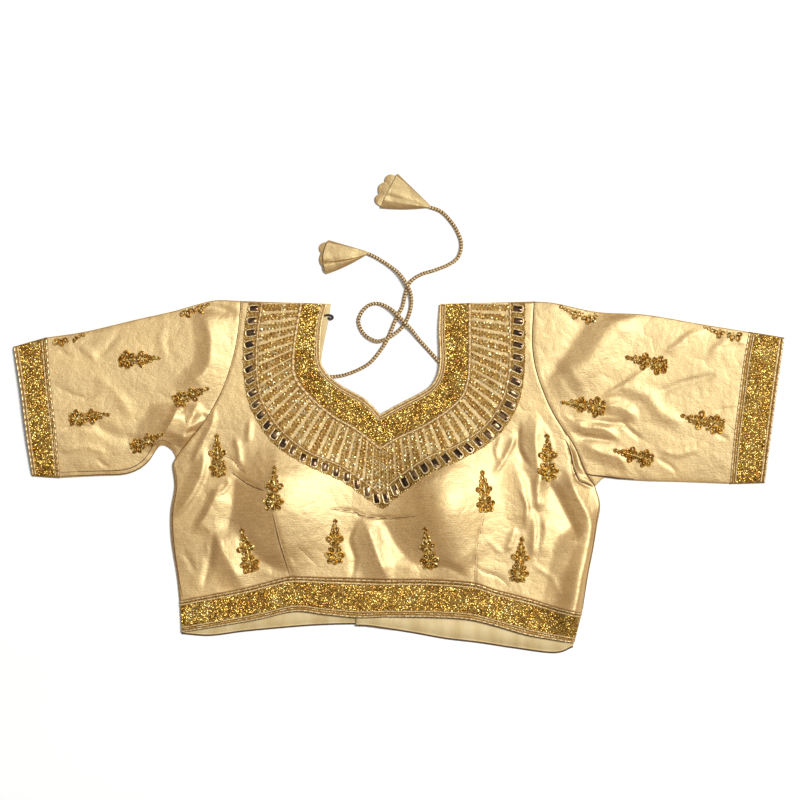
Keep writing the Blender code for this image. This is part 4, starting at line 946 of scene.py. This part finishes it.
# Embroidered borders: across their width, 0 at the hem or the sleeve, 1 at the other edge. The profile has
# share and height, the ropes share, radius, lift and look, and the beads share and look
border = {
    "profile": [(0, 0.2), (0.015, 0.75), (0.045, 0.8), (0.06, 0.35), (0.13, 0.35), (0.16, 0.5), (0.5, 0.65),
                (0.84, 0.5), (0.87, 0.35), (0.94, 0.35), (0.955, 0.8), (0.985, 0.75), (1, 0.2)],
    # The first rope, in the dark look, is a painted shadow along the border's edge at share 0
    "ropes": [(-0.004, 0.6, -0.7, "shade"), (0.022, 0.9, 0.75, "piping"), (0.058, 0.4, 0.6, "darkRope"),
              (0.15, 0.7, 0.85, "paleRope"), (0.176, 0.4, 0.6, "darkRope"), (0.855, 0.4, 0.6, "darkRope"),
              (0.882, 0.75, 0.85, "paleRope"), (0.945, 0.4, 0.6, "darkRope"), (0.978, 0.9, 0.75, "piping")],
    "beads": [(0.088, "rings"), (0.12, "pips"), (0.898, "rings"), (0.93, "pips")],
    "under": -1.3, "bead": 0.66, "beadPitch": 1.69, "beadLift": 0.6,
    "field": (0.195, 0.835), "sequin": 0.82, "pitch": 1.34, "tilt": 0.42,
}
# The twist of every rope that is sewn on
rope = {"step": 1.15, "around": 6, "strands": 3, "depth": 0.28, "pitch": 4.2}


def sequinField(place, lower, upper, shares, lift):  # sequins between two lines
    length = (lengthOf(lower) + lengthOf(upper)) / 2
    width = np.linalg.norm(upper - lower, axis=1).mean() * (shares[1] - shares[0])
    columns, rows = round(length / border["pitch"]), round(width / border["pitch"])
    u, v = np.meshgrid((np.arange(columns) + 0.5) / columns, np.linspace(0, 1, rows), indexing="ij")
    u = u + (np.arange(rows) % 2) * 0.5 / columns + chance.uniform(-0.22, 0.22, u.shape) / columns
    v = v + chance.uniform(-0.2, 0.2, v.shape) / rows
    u, v = np.clip(u, 0.002, 0.998).ravel(), shares[0] + np.clip(v, 0, 1).ravel() * (shares[1] - shares[0])
    plan = between(atShares(lower, u), atShares(upper, u), v[:, None])
    lean = raised(chance.normal(0, border["tilt"], (len(plan), 2)), 0)
    return sewn(place, sequinShape(), plan, lift + chance.uniform(0, 0.35, len(plan)), lean,
                chance.uniform(0, 6.28, len(plan)), border["sequin"] * chance.uniform(0.8, 1.15, len(plan)))


def beadLine(place, line):
    pitch, length = border["beadPitch"], lengthOf(line)
    plan = atShares(line, np.arange(0.5 * pitch, length - 0.4 * pitch, pitch) / length)
    steps = np.gradient(plan, axis=0)
    turns = np.arctan2(steps[:, 1], steps[:, 0])
    return sewn(place, beadShape(), plan, border["beadLift"], turns=turns, sizes=border["bead"])


def ropeLine(place, line, radius, lift):
    plan = spaced(line, round(lengthOf(line) / rope["step"]))
    lobes = (rope["strands"], rope["depth"], rope["pitch"], False)
    return tubePart(onCloth(place, plan, lift), radius, rope["around"], lobes)


def borderTrim(place, lower, upper):  # what is sewn on a border: ropes, beads and the sequin field
    names = ["sequins", "paleRope", "piping", "rings", "darkRope", "pips", "shade"]
    parts = [(ropeLine(place, between(lower, upper, share), radius, lift), names.index(look))
             for share, radius, lift, look in border["ropes"]]
    for share, look in border["beads"]:
        parts.append((beadLine(place, between(lower, upper, share)), names.index(look)))
    parts.append((sequinField(place, lower, upper, border["field"], 0.72), 0))
    return parts, names


def makeHemBorder():
    lower, upper = (joined([smooth(cut[key][side], 140) for side in sides])
                    for key in ("hemFront", "hemBandTop"))
    shares, lifts = np.array(border["profile"]).T
    plan = between(lower, upper, shares[:, None, None])
    base = stripPart("front", plan, lifts[:, None], border["under"])
    cloth = piece("hemBorder", [(base, 0)], ["backing"], ["hem_band_front"], sharp=50)
    parts, names = borderTrim("front", lower, upper)
    return cloth, piece("hemBorderTrim", parts, names, sharp=40)


def makeCuff(side):
    _, _, start, end = sleeveLines(side)
    shares, lifts = np.array(border["profile"]).T
    tube = sleeveTube(side, between(start, end, shares[:, None, None]), lifts)
    cloth = piece("cuff" + side.title(), [(tube, 0)], ["backing"], [f"cuff_{side}"], sharp=50)
    lines = [spaced(atShares(line, np.linspace(0.008, 0.992, 120)), 120) for line in (start, end)]
    parts, names = borderTrim(side, *lines)
    return cloth, piece(f"cuff{side.title()}Trim", parts, names, sharp=40)


hem = makeHemBorder()
cuffs = {side: makeCuff(side) for side in sides}
print("borders ready")

# Round the neck: a sequin band, radiating rows of ringed sequins, and mirrors in coiled frames
yoke = {
    "inset": 2.2, "rows": 24, "ringPitch": 3.9, "ring": 2.1, "rowSpread": 0.19, "ground": (0.8, 2.0),
    "firstRing": 2.2, "lastRing": 0.965, "wideRings": 0.86, "copperEvery": 5, "silverEvery": 3,
    "mirrors": 22, "mirrorSize": (0.66, 0.42), "frameReach": (1.0, 0.9), "frameWire": 0.85,
    "frameCorner": [(2.2, 0), (0.9, 0.5), (0.15, 1.7)],
}
# Share of the band's width, radius, lift, and the look's number
bandRopes = [(0.068, 0.6, 0.95, 1), (0.03, 0.45, 0.75, 2), (0.93, 0.7, 1.25, 2), (0.985, 1.2, 1.7, 1),
             (1.035, 0.7, 1.4, 2)]


def bandLine(name, count=None, shares=None):
    halves = []
    for side in sides:
        line = smooth(cut[name][side], 240)
        if name == "neck":
            line = shifted(line, -signs[side] * yoke["inset"])
        halves.append(spaced(line, count) if shares is None else atShares(line, shares))
    return halves


def stripBase(name, inner, outer, columns, lift, look, node, stations=180):
    lines = [joined(bandLine(line, stations)) for line in (inner, outer)]
    plan = between(*lines, np.linspace(0.006, 0.994, columns)[:, None, None])
    base = stripPart("front", plan, lift, 0.15)
    return piece(name, [(base, 0)], [look], [node], sharp=50), lines


def makeNeckBand():
    cloth, (inner, outer) = stripBase(
        "neckBand", "neck", "neckBand", 14, 0.6, "backing", "neck_band", 120)
    parts = [(sequinField("front", inner, outer, (0.1, 0.93), 0.9), 0)]
    for share, radius, lift, look in bandRopes:
        parts.append((ropeLine("front", between(inner, outer, share), radius, lift), look))
    trim = piece("neckBandTrim", parts, ["sequins", "paleRope", "darkRope"], sharp=40)
    edge = joined([smooth(cut["neck"][side], 150) for side in sides])
    heights = clothTop("front", edge)
    roll = tubePart(raised(shifted(edge, 1.0), heights - 0.5), 1.1, 12)
    second = tubePart(raised(shifted(edge, -0.9), heights + 0.15), 0.45, 9)
    piece("neckPiping", [(roll, 0), (second, 1)], ["piping", "darkRope"], ["neck_piping"], sharp=60)
    return cloth, trim


def makeYoke():
    cloth, _ = stripBase(
        "yokeCloth", "neckBand", "beadwork", 18, 0.75, "silkYoke", "yoke_beadwork")
    groups = {"rings": [], "silver": [], "copper": []}
    beads, grounds = [], []
    for half in range(2):
        for row in range(yoke["rows"]):
            share = (row + 0.5) / yoke["rows"]
            start, end = (bandLine(name, shares=[share])[half][0] for name in ("neckBand", "beadwork"))
            reach = np.linalg.norm(end - start)
            along = (end - start) / reach
            across = np.array([-along[1], along[0]])
            narrow, width = (lengthOf(bandLine(name, 60)[half]) / yoke["rows"]
                             for name in ("neckBand", "beadwork"))
            kind = "silver" if row % yoke["silverEvery"] == 0 else "rings"
            kind = "copper" if row % yoke["copperEvery"] == 2 else kind
            count = int((reach - 3.5) / yoke["ringPitch"])
            for lane in (-1, 1):
                for number in range(count + (lane > 0)):
                    step = number + (0.5 if lane < 0 else 0.0)
                    out = (yoke["firstRing"] + yoke["ringPitch"] * step) / reach
                    if out > yoke["lastRing"]:
                        continue
                    spread = between(narrow, width, out) * yoke["rowSpread"]
                    point = start + along * reach * out + across * lane * spread
                    if chance.uniform() < 0.6:
                        tone = kind
                    else:
                        tone = chance.choice(["rings", "rings", "silver", "copper"])
                    size = yoke["ring"] * (1.2 if out > yoke["wideRings"] else 1.0) * (0.84 + 0.26 * out)
                    groups[tone].append((*point, size * chance.uniform(0.85, 1.12)))
                    beads.append(point)
            out = np.linspace(0.02, 0.97, 18)[:, None, None]
            lanes = np.linspace(-1, 1, 3)[None, :, None]
            spread = between(narrow, width, out) * yoke["rowSpread"] + chance.uniform(*yoke["ground"])
            plan = start + along * reach * out + across * lanes * spread
            grounds.append((stripPart("front", plan, 0.92, 0.52), 6))
    parts = []
    names = ["rings", "silver", "copper", "paleRope", "pips", "darkRope", "backing"]
    for index, name in enumerate(("rings", "silver", "copper")):
        spots = np.array(groups[name])
        spots[:, :2] += chance.uniform(-0.4, 0.4, (len(spots), 2))
        lean = chance.normal(0, 0.3, (len(spots), 3))
        turns = chance.uniform(0, 6.28, len(spots))
        rings = sewn("front", ringShape(0.24, 9, 3), spots[:, :2], 1.1, lean, turns, spots[:, 2])
        parts.append((rings, index))
    trimRings = piece("yokeRings", parts, names, sharp=60)
    parts = [(sewn("front", sequinShape(4), np.array(beads), 1.3), 4), *grounds]
    outer = joined(bandLine("beadwork", 200))
    for distance, radius, lift, look in ((0.7, 0.6, 1.05, 5), (1.9, 0.8, 1.25, 3), (3.2, 0.55, 1.0, 5)):
        parts.append((ropeLine("front", shifted(outer, distance), radius, lift), look))
    return cloth, trimRings, piece("yokeTrim", parts, names, sharp=60)


def tileShape():  # a mirror with sloping edges
    points = np.array([(x * k, y * k, z) for k, z in ((1, 0), (1, 0.6), (0.8, 1))
                       for x, y in ((-1, -1), (1, -1), (1, 1), (-1, 1))], float)
    faces = [(3, 2, 1, 0), (8, 9, 10, 11)]
    for low in (0, 4):
        faces += [(low + i, low + (i + 1) % 4, low + 4 + (i + 1) % 4, low + 4 + i) for i in range(4)]
    return points, np.array(faces)


def makeMirrors():
    cloth, _ = stripBase(
        "mirrorStrip", "beadwork", "mirrors", 8, 0.7, "darkBacking", "mirror_border")
    tiles, beads = [], []
    for half in range(2):
        for number in range(yoke["mirrors"]):
            shares = (np.array([0.0, 0.5, 1.0]) + number) / yoke["mirrors"]
            low, high = (bandLine(name, shares=shares)[half] for name in ("beadwork", "mirrors"))
            reach = high[1] - low[1]
            deep = np.linalg.norm(reach)
            wide = np.linalg.norm((high[2] + low[2] - high[0] - low[0]) / 2)
            centre = low[1] + reach * 0.47
            heading = math.atan2(reach[1], reach[0]) + chance.uniform(-0.09, 0.09)
            centre = centre + chance.uniform(-0.5, 0.5, 2)
            size = deep * 0.5 * yoke["mirrorSize"][0], wide * 0.5 * yoke["mirrorSize"][1]
            tiles.append((*centre, heading, size[0], size[1] * chance.uniform(0.86, 1.1), 1))
            for spot in np.linspace(-0.42, 0.42, 5):  # a scallop of beads round the outer end
                bow = 0.9 + 0.12 * (1 - (spot / 0.44) ** 2)
                pair = (between(line[0], line[2], 0.5 + spot) for line in (low, high))
                beads.append((*between(*pair, bow), 0.95))
            for out in (0.14, 0.32, 0.5, 0.68):  # and a row between neighbours
                beads.append((*between(low[0], high[0], out), 0.72))
    tiles, beads = np.array(tiles), np.array(beads)
    lean = chance.normal(0, 0.05, (len(tiles), 3))
    parts = [(sewn("front", tileShape(), tiles[:, :2], 0.75, lean, tiles[:, 2], tiles[:, 3:]), 0)]
    for x, y, heading, a, b, _ in tiles:
        a, b = a + yoke["frameReach"][0], b + yoke["frameReach"][1]
        bend = [(-a, b)] + [(a - inwards, b - down) for inwards, down in yoke["frameCorner"]]
        loop = np.array([(across, -up) for across, up in bend] + [(a, 0)] + bend[::-1])
        turn = np.array([[math.cos(heading), math.sin(heading)], [-math.sin(heading), math.cos(heading)]])
        line = spaced(loop @ turn + (x, y), 34)
        wire = tubePart(onCloth("front", line, 1.35), yoke["frameWire"], 6, (2, 0.22, 1.8, False))
        parts.append((wire, 1))
    parts.append((sewn("front", beadShape(), beads[:, :2], 0.95, sizes=beads[:, 2]), 2))
    return cloth, piece("mirrorTrim", parts, ["mirror", "frame", "bronze"], sharp=50)


neckPieces = [*makeNeckBand(), *makeYoke(), *makeMirrors()]
print("neck ready")

# Flower sprigs of looped coils: middle, angle and length; then loops and beads as their place along and
# across in shares of the length, size, a loop's angle off the stem and its width, and 1 for one on each
# flank; then places along the ground under them and its half width there. The ground is a dark sheet:
# painted shade inside the loops
sprigs = {
    "front": [(-199.5, 23, 92, 48), (-137.5, -13, 88, 50), (-167.5, -81.5, 104, 50), (-70.5, -71.5, 90, 50),
              (93.5, -16.5, 96, 47), (31.5, -79, 98, 47), (163.5, 21, 92, 52), (133, -91.5, 84, 51)],
    "left": [(-285, 128.5, 3, 47), (-228, 89, 22, 42), (-340, 65, 8, 46), (-276.5, 38.5, 24, 40)],
    "right": [(271.5, 125.5, 166, 48), (202, 78, 172, 50), (333, 60.5, 166, 50), (257, 23, 164, 46)],
    "loops": [
        (0.2, 0.125, 0.1, 82, 0.74, 1), (0.085, 0.085, 0.092, 130, 0.74, 1), (0.31, 0.085, 0.082, 42, 0.7, 1),
        (0.055, 0, 0.07, 180, 0.8, 0), (0.54, 0.115, 0.09, 72, 0.78, 1), (0.455, 0.05, 0.066, 130, 0.8, 1),
        (0.635, 0.055, 0.07, 30, 0.74, 1), (0.735, 0.04, 0.056, 20, 0.8, 0),
        (0.75, -0.04, 0.056, -30, 0.8, 0), (0.83, 0.015, 0.05, 0, 0.9, 0), (0.935, 0, 0.052, 0, 1, 0)],
    "beads": [(0.195, 0.0, 1.5, 0), (0.20, 0.125, 1.0, 1), (0.09, 0.085, 0.9, 1), (0.31, 0.08, 0.8, 1),
              (0.375, 0.0, 1.1, 0), (0.545, 0.0, 1.4, 0), (0.54, 0.115, 0.9, 1), (0.66, 0.0, 0.9, 0),
              (0.885, 0.0, 0.7, 0)],
    "outline": [(0, 0.05), (0.10, 0.14), (0.22, 0.17), (0.36, 0.08), (0.44, 0.06), (0.54, 0.14), (0.68, 0.06),
                (0.86, 0.035), (1, 0.015)],
    "looks": ["darkBacking", "bronze", "rings", "sequins"],
}


def sprigParts(place, x, y, angle, length, inside=None):
    turn = math.radians(angle)
    along = np.array([math.cos(turn), math.sin(turn)])
    across = np.array([-math.sin(turn), math.cos(turn)])
    at = lambda share, flank: np.array([x, y]) + along * (share - 0.5) * length + across * flank * length
    spots = np.array([(*at(share, sign * flank + chance.uniform(-0.012, 0.012)),
                       size * length * chance.uniform(0.9, 1.1),
                       turn + math.radians(sign * lean) + chance.uniform(-0.3, 0.3), oval)
                      for share, flank, size, lean, oval, both in sprigs["loops"]
                      for sign in (1, -1)[:1 + both]])
    beads = np.array([(*at(share, sign * flank), size)
                      for share, flank, size, both in sprigs["beads"] for sign in (1, -1)[:1 + both]])
    if inside:
        spots, beads = spots[inside(spots)], beads[inside(beads)]
    lean = chance.normal(0, 0.12, (len(spots), 3))
    parts = []
    for wire, share, lift, look in ((0.15, 1.08, 1.1, 1), (0.2, 0.72, 0.85, 3)):
        sizes = np.stack([spots[:, 2] * share, spots[:, 2] * spots[:, 4] * share, spots[:, 2] * 0.9], axis=1)
        loops = sewn(place, ringShape(wire, 12, 4), spots[:, :2], lift, lean, spots[:, 3], sizes)
        parts.append((loops, look))
    parts.append((sewn(place, beadShape(8), beads[:, :2], 1.0, sizes=beads[:, 2]), 2))
    return parts, at


def makeSprig(place, number, x, y, angle, length):
    parts, at = sprigParts(place, x, y, angle, length)
    plan = np.stack([smooth([at(share, half * k) for share, half in sprigs["outline"]], 26)
                     for k in (-1, -0.5, 0, 0.5, 1)], axis=1)
    # the dark ground under the loops is painted shade
    parts.append((stripPart(place, plan, np.array([0.1, 0.4, 0.5, 0.4, 0.1]), -0.3), 0))
    stem = np.stack([at(share, 0.012 * math.sin(share * 9)) for share in np.linspace(0.1, 0.92, 30)])
    parts.append((ropeLine(place, stem, 0.55, 0.75), 1))
    piece(f"sprig{place.title()}{number}", parts, sprigs["looks"], [f"sprig_{place}_{number}"],
          sharp=60)


# Those that go round the top folds of the sleeves, of which the lower part shows
foldSprigs = {"left": [(-221, 187.0, 16, 44), (-359, 155.0, 10, 46)],
              "right": [(197, 180.5, 164, 44), (355, 160.0, 168, 44)], "inset": 0.1, "reach": 0.8}


def makeFoldSprigs(side):
    line = sleeveFold(side, "upper")
    line = line[np.argsort(line[:, 0])]

    def inside(spots):
        fold = np.interp(spots[:, 0], line[:, 0], line[:, 1]) - foldSprigs["inset"]
        return spots[:, 1] + spots[:, 2] * foldSprigs["reach"] < fold

    parts = [part for row in foldSprigs[side] for part in sprigParts(side, *row, inside)[0]]
    piece("foldSprigs" + side.title(), parts, sprigs["looks"], sharp=60)


for place in ("front", "left", "right"):
    for number, row in enumerate(sprigs[place], 1):
        makeSprig(place, number, *row)
for side in sides:
    makeFoldSprigs(side)
print("sprigs ready")

# Seams and the sharpest creases, as a dark line with or without a lip of silk: place, distance to the left of
# the line, radius, look, and the line. Along seams the dark line is seam thread; along folded edges, in
# creases and under the right sleeve's fold it is painted shade
seamAndShadeRows = [
    ("front", -2.6, 0.45, "shade", [(-240, -136), (-245.5, -109), (-250.5, -71.5), (-251.5, -40.5),
                                    (-247, -11), (-249, 10)]),
    ("left", 5.5, 0.45, "shade", [(-372, -1.5), (-350, -0.5), (-333, 0), (-299, 2), (-278, 13), (-263, 33),
                                  (-252, 30)]),
    # painted shadow along the sleeve's lower folded edge
    ("left", 1.2, 0.5, "shade", [(-372, -1.5), (-350, -0.5), (-333, 0), (-299, 2), (-278, 13), (-263, 33)]),
    # painted shadow along the right side's folded edge
    ("front", 1.0, 0.35, "shade", [(203, -146), (207.5, -111), (213.5, -80.5), (217.5, -55), (220.5, -32)]),
    ("front", 0.0, 0.42, "shade", cut["armhole"]["right"]),
    ("front", 0.3, 0.3, "shade", cut["armhole"]["left"]),
    ("front", -0.5, 0.45, "silkFront", cut["armhole"]["left"]),
    # the dark line beside the left dart's lip of silk is painted shade; the right dart keeps a dark seam line
    ("front", 0.0, 0.9, "silkFront", lay["darts"][0]), ("front", 1.2, 0.4, "shade", lay["darts"][0]),
    ("front", 0.0, 0.38, "shade", lay["darts"][1]),
    # from here on the dark lines are painted shade, in creases and under the right sleeve's fold
    ("front", 0.0, 0.75, "shade", creases["cups"]),
    ("front", -1.2, 0.8, "silkFront", [(-70, -36.5), (-47, -40), (-42, -43), (-24, -46), (-2, -46),
                                       (10, -45)]),
    ("front", 0.0, 0.65, "shade", creases["besideArmhole"]),
    ("front", 0.0, 0.85, "shade", creases["aboveCup"]),
    ("front", 1.2, 0.8, "silkFront", creases["aboveCup"]),
    ("front", 0.0, 0.8, "shade", [(183, 40), (187.5, 28), (190.5, 12), (195, 1), (198, -7)]),
    ("front", 1.3, 0.7, "silkFront", [(184, 36), (188, 26), (191, 12), (195, 1)]),
    ("front", 0.0, 0.6, "shade", [(195, 1), (199, -6), (206, -8), (213, -12)]),
    ("right", 0.9, 0.9, "shade", [(201, 3), (212, 0), (227, -1.5), (243, -3.5), (258, -4.5)]),
    ("front", 0.0, 0.35, "shade", creases["besideRightDart"]),
    ("front", 0.0, 0.3, "shade", creases["besideLeftDart"]),
    ("left", 0.0, 0.4, "shade", [(-241, 74), (-236, 66), (-233, 58)]),
    ("right", 0.0, 0.3, "shade", [(362, 56), (372, 48), (378, 42)]),
]


def makeSeamsAndShadeLines():
    parts, names = [], ["shade", "silkFront"]
    for place, inset, radius, look, points in seamAndShadeRows:
        line = shifted(smooth(points, 90), inset)
        taper = np.sqrt(np.sin(np.linspace(0.01, 0.99, 90) * math.pi)) if len(points) < 8 else 1
        tube = tubePart(onCloth(place, line, 0.12), radius * (0.15 + 0.85 * taper), 6)
        parts.append((tube, names.index(look)))
    piece("seamAndShadeLines", parts, names, sharp=60)


makeSeamsAndShadeLines()
print("seams ready")

# Fastenings: the left strap's wire hook; the four back hooks keep their solids
fastenings = {"hook": [(-82, 176.4), (-78, 177.0), (-74.2, 176.2), (-73.0, 174.2), (-74.6, 172.4),
                       (-77, 173.0), (-77.6, 174.8)],
              "radius": 1.2, "height": 2.5}


def makeFastenings():
    line = raised(smooth(fastenings["hook"], 60), fastenings["height"])
    piece("strapHook", [(tubePart(line, fastenings["radius"], 10), 0)], ["hook"],
          ["strap_hook"], sharp=60)
    for number in range(1, 5):
        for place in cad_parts[f"back_hook_{number}"].material_slots:
            place.material = looks["hook"]


makeFastenings()

shown = [made for made in bpy.context.scene.objects if made.type == "MESH" and not made.hide_render]
count = sum(len(face.vertices) - 2 for made in shown for face in made.data.polygons)
print("triangles before modifiers", count)
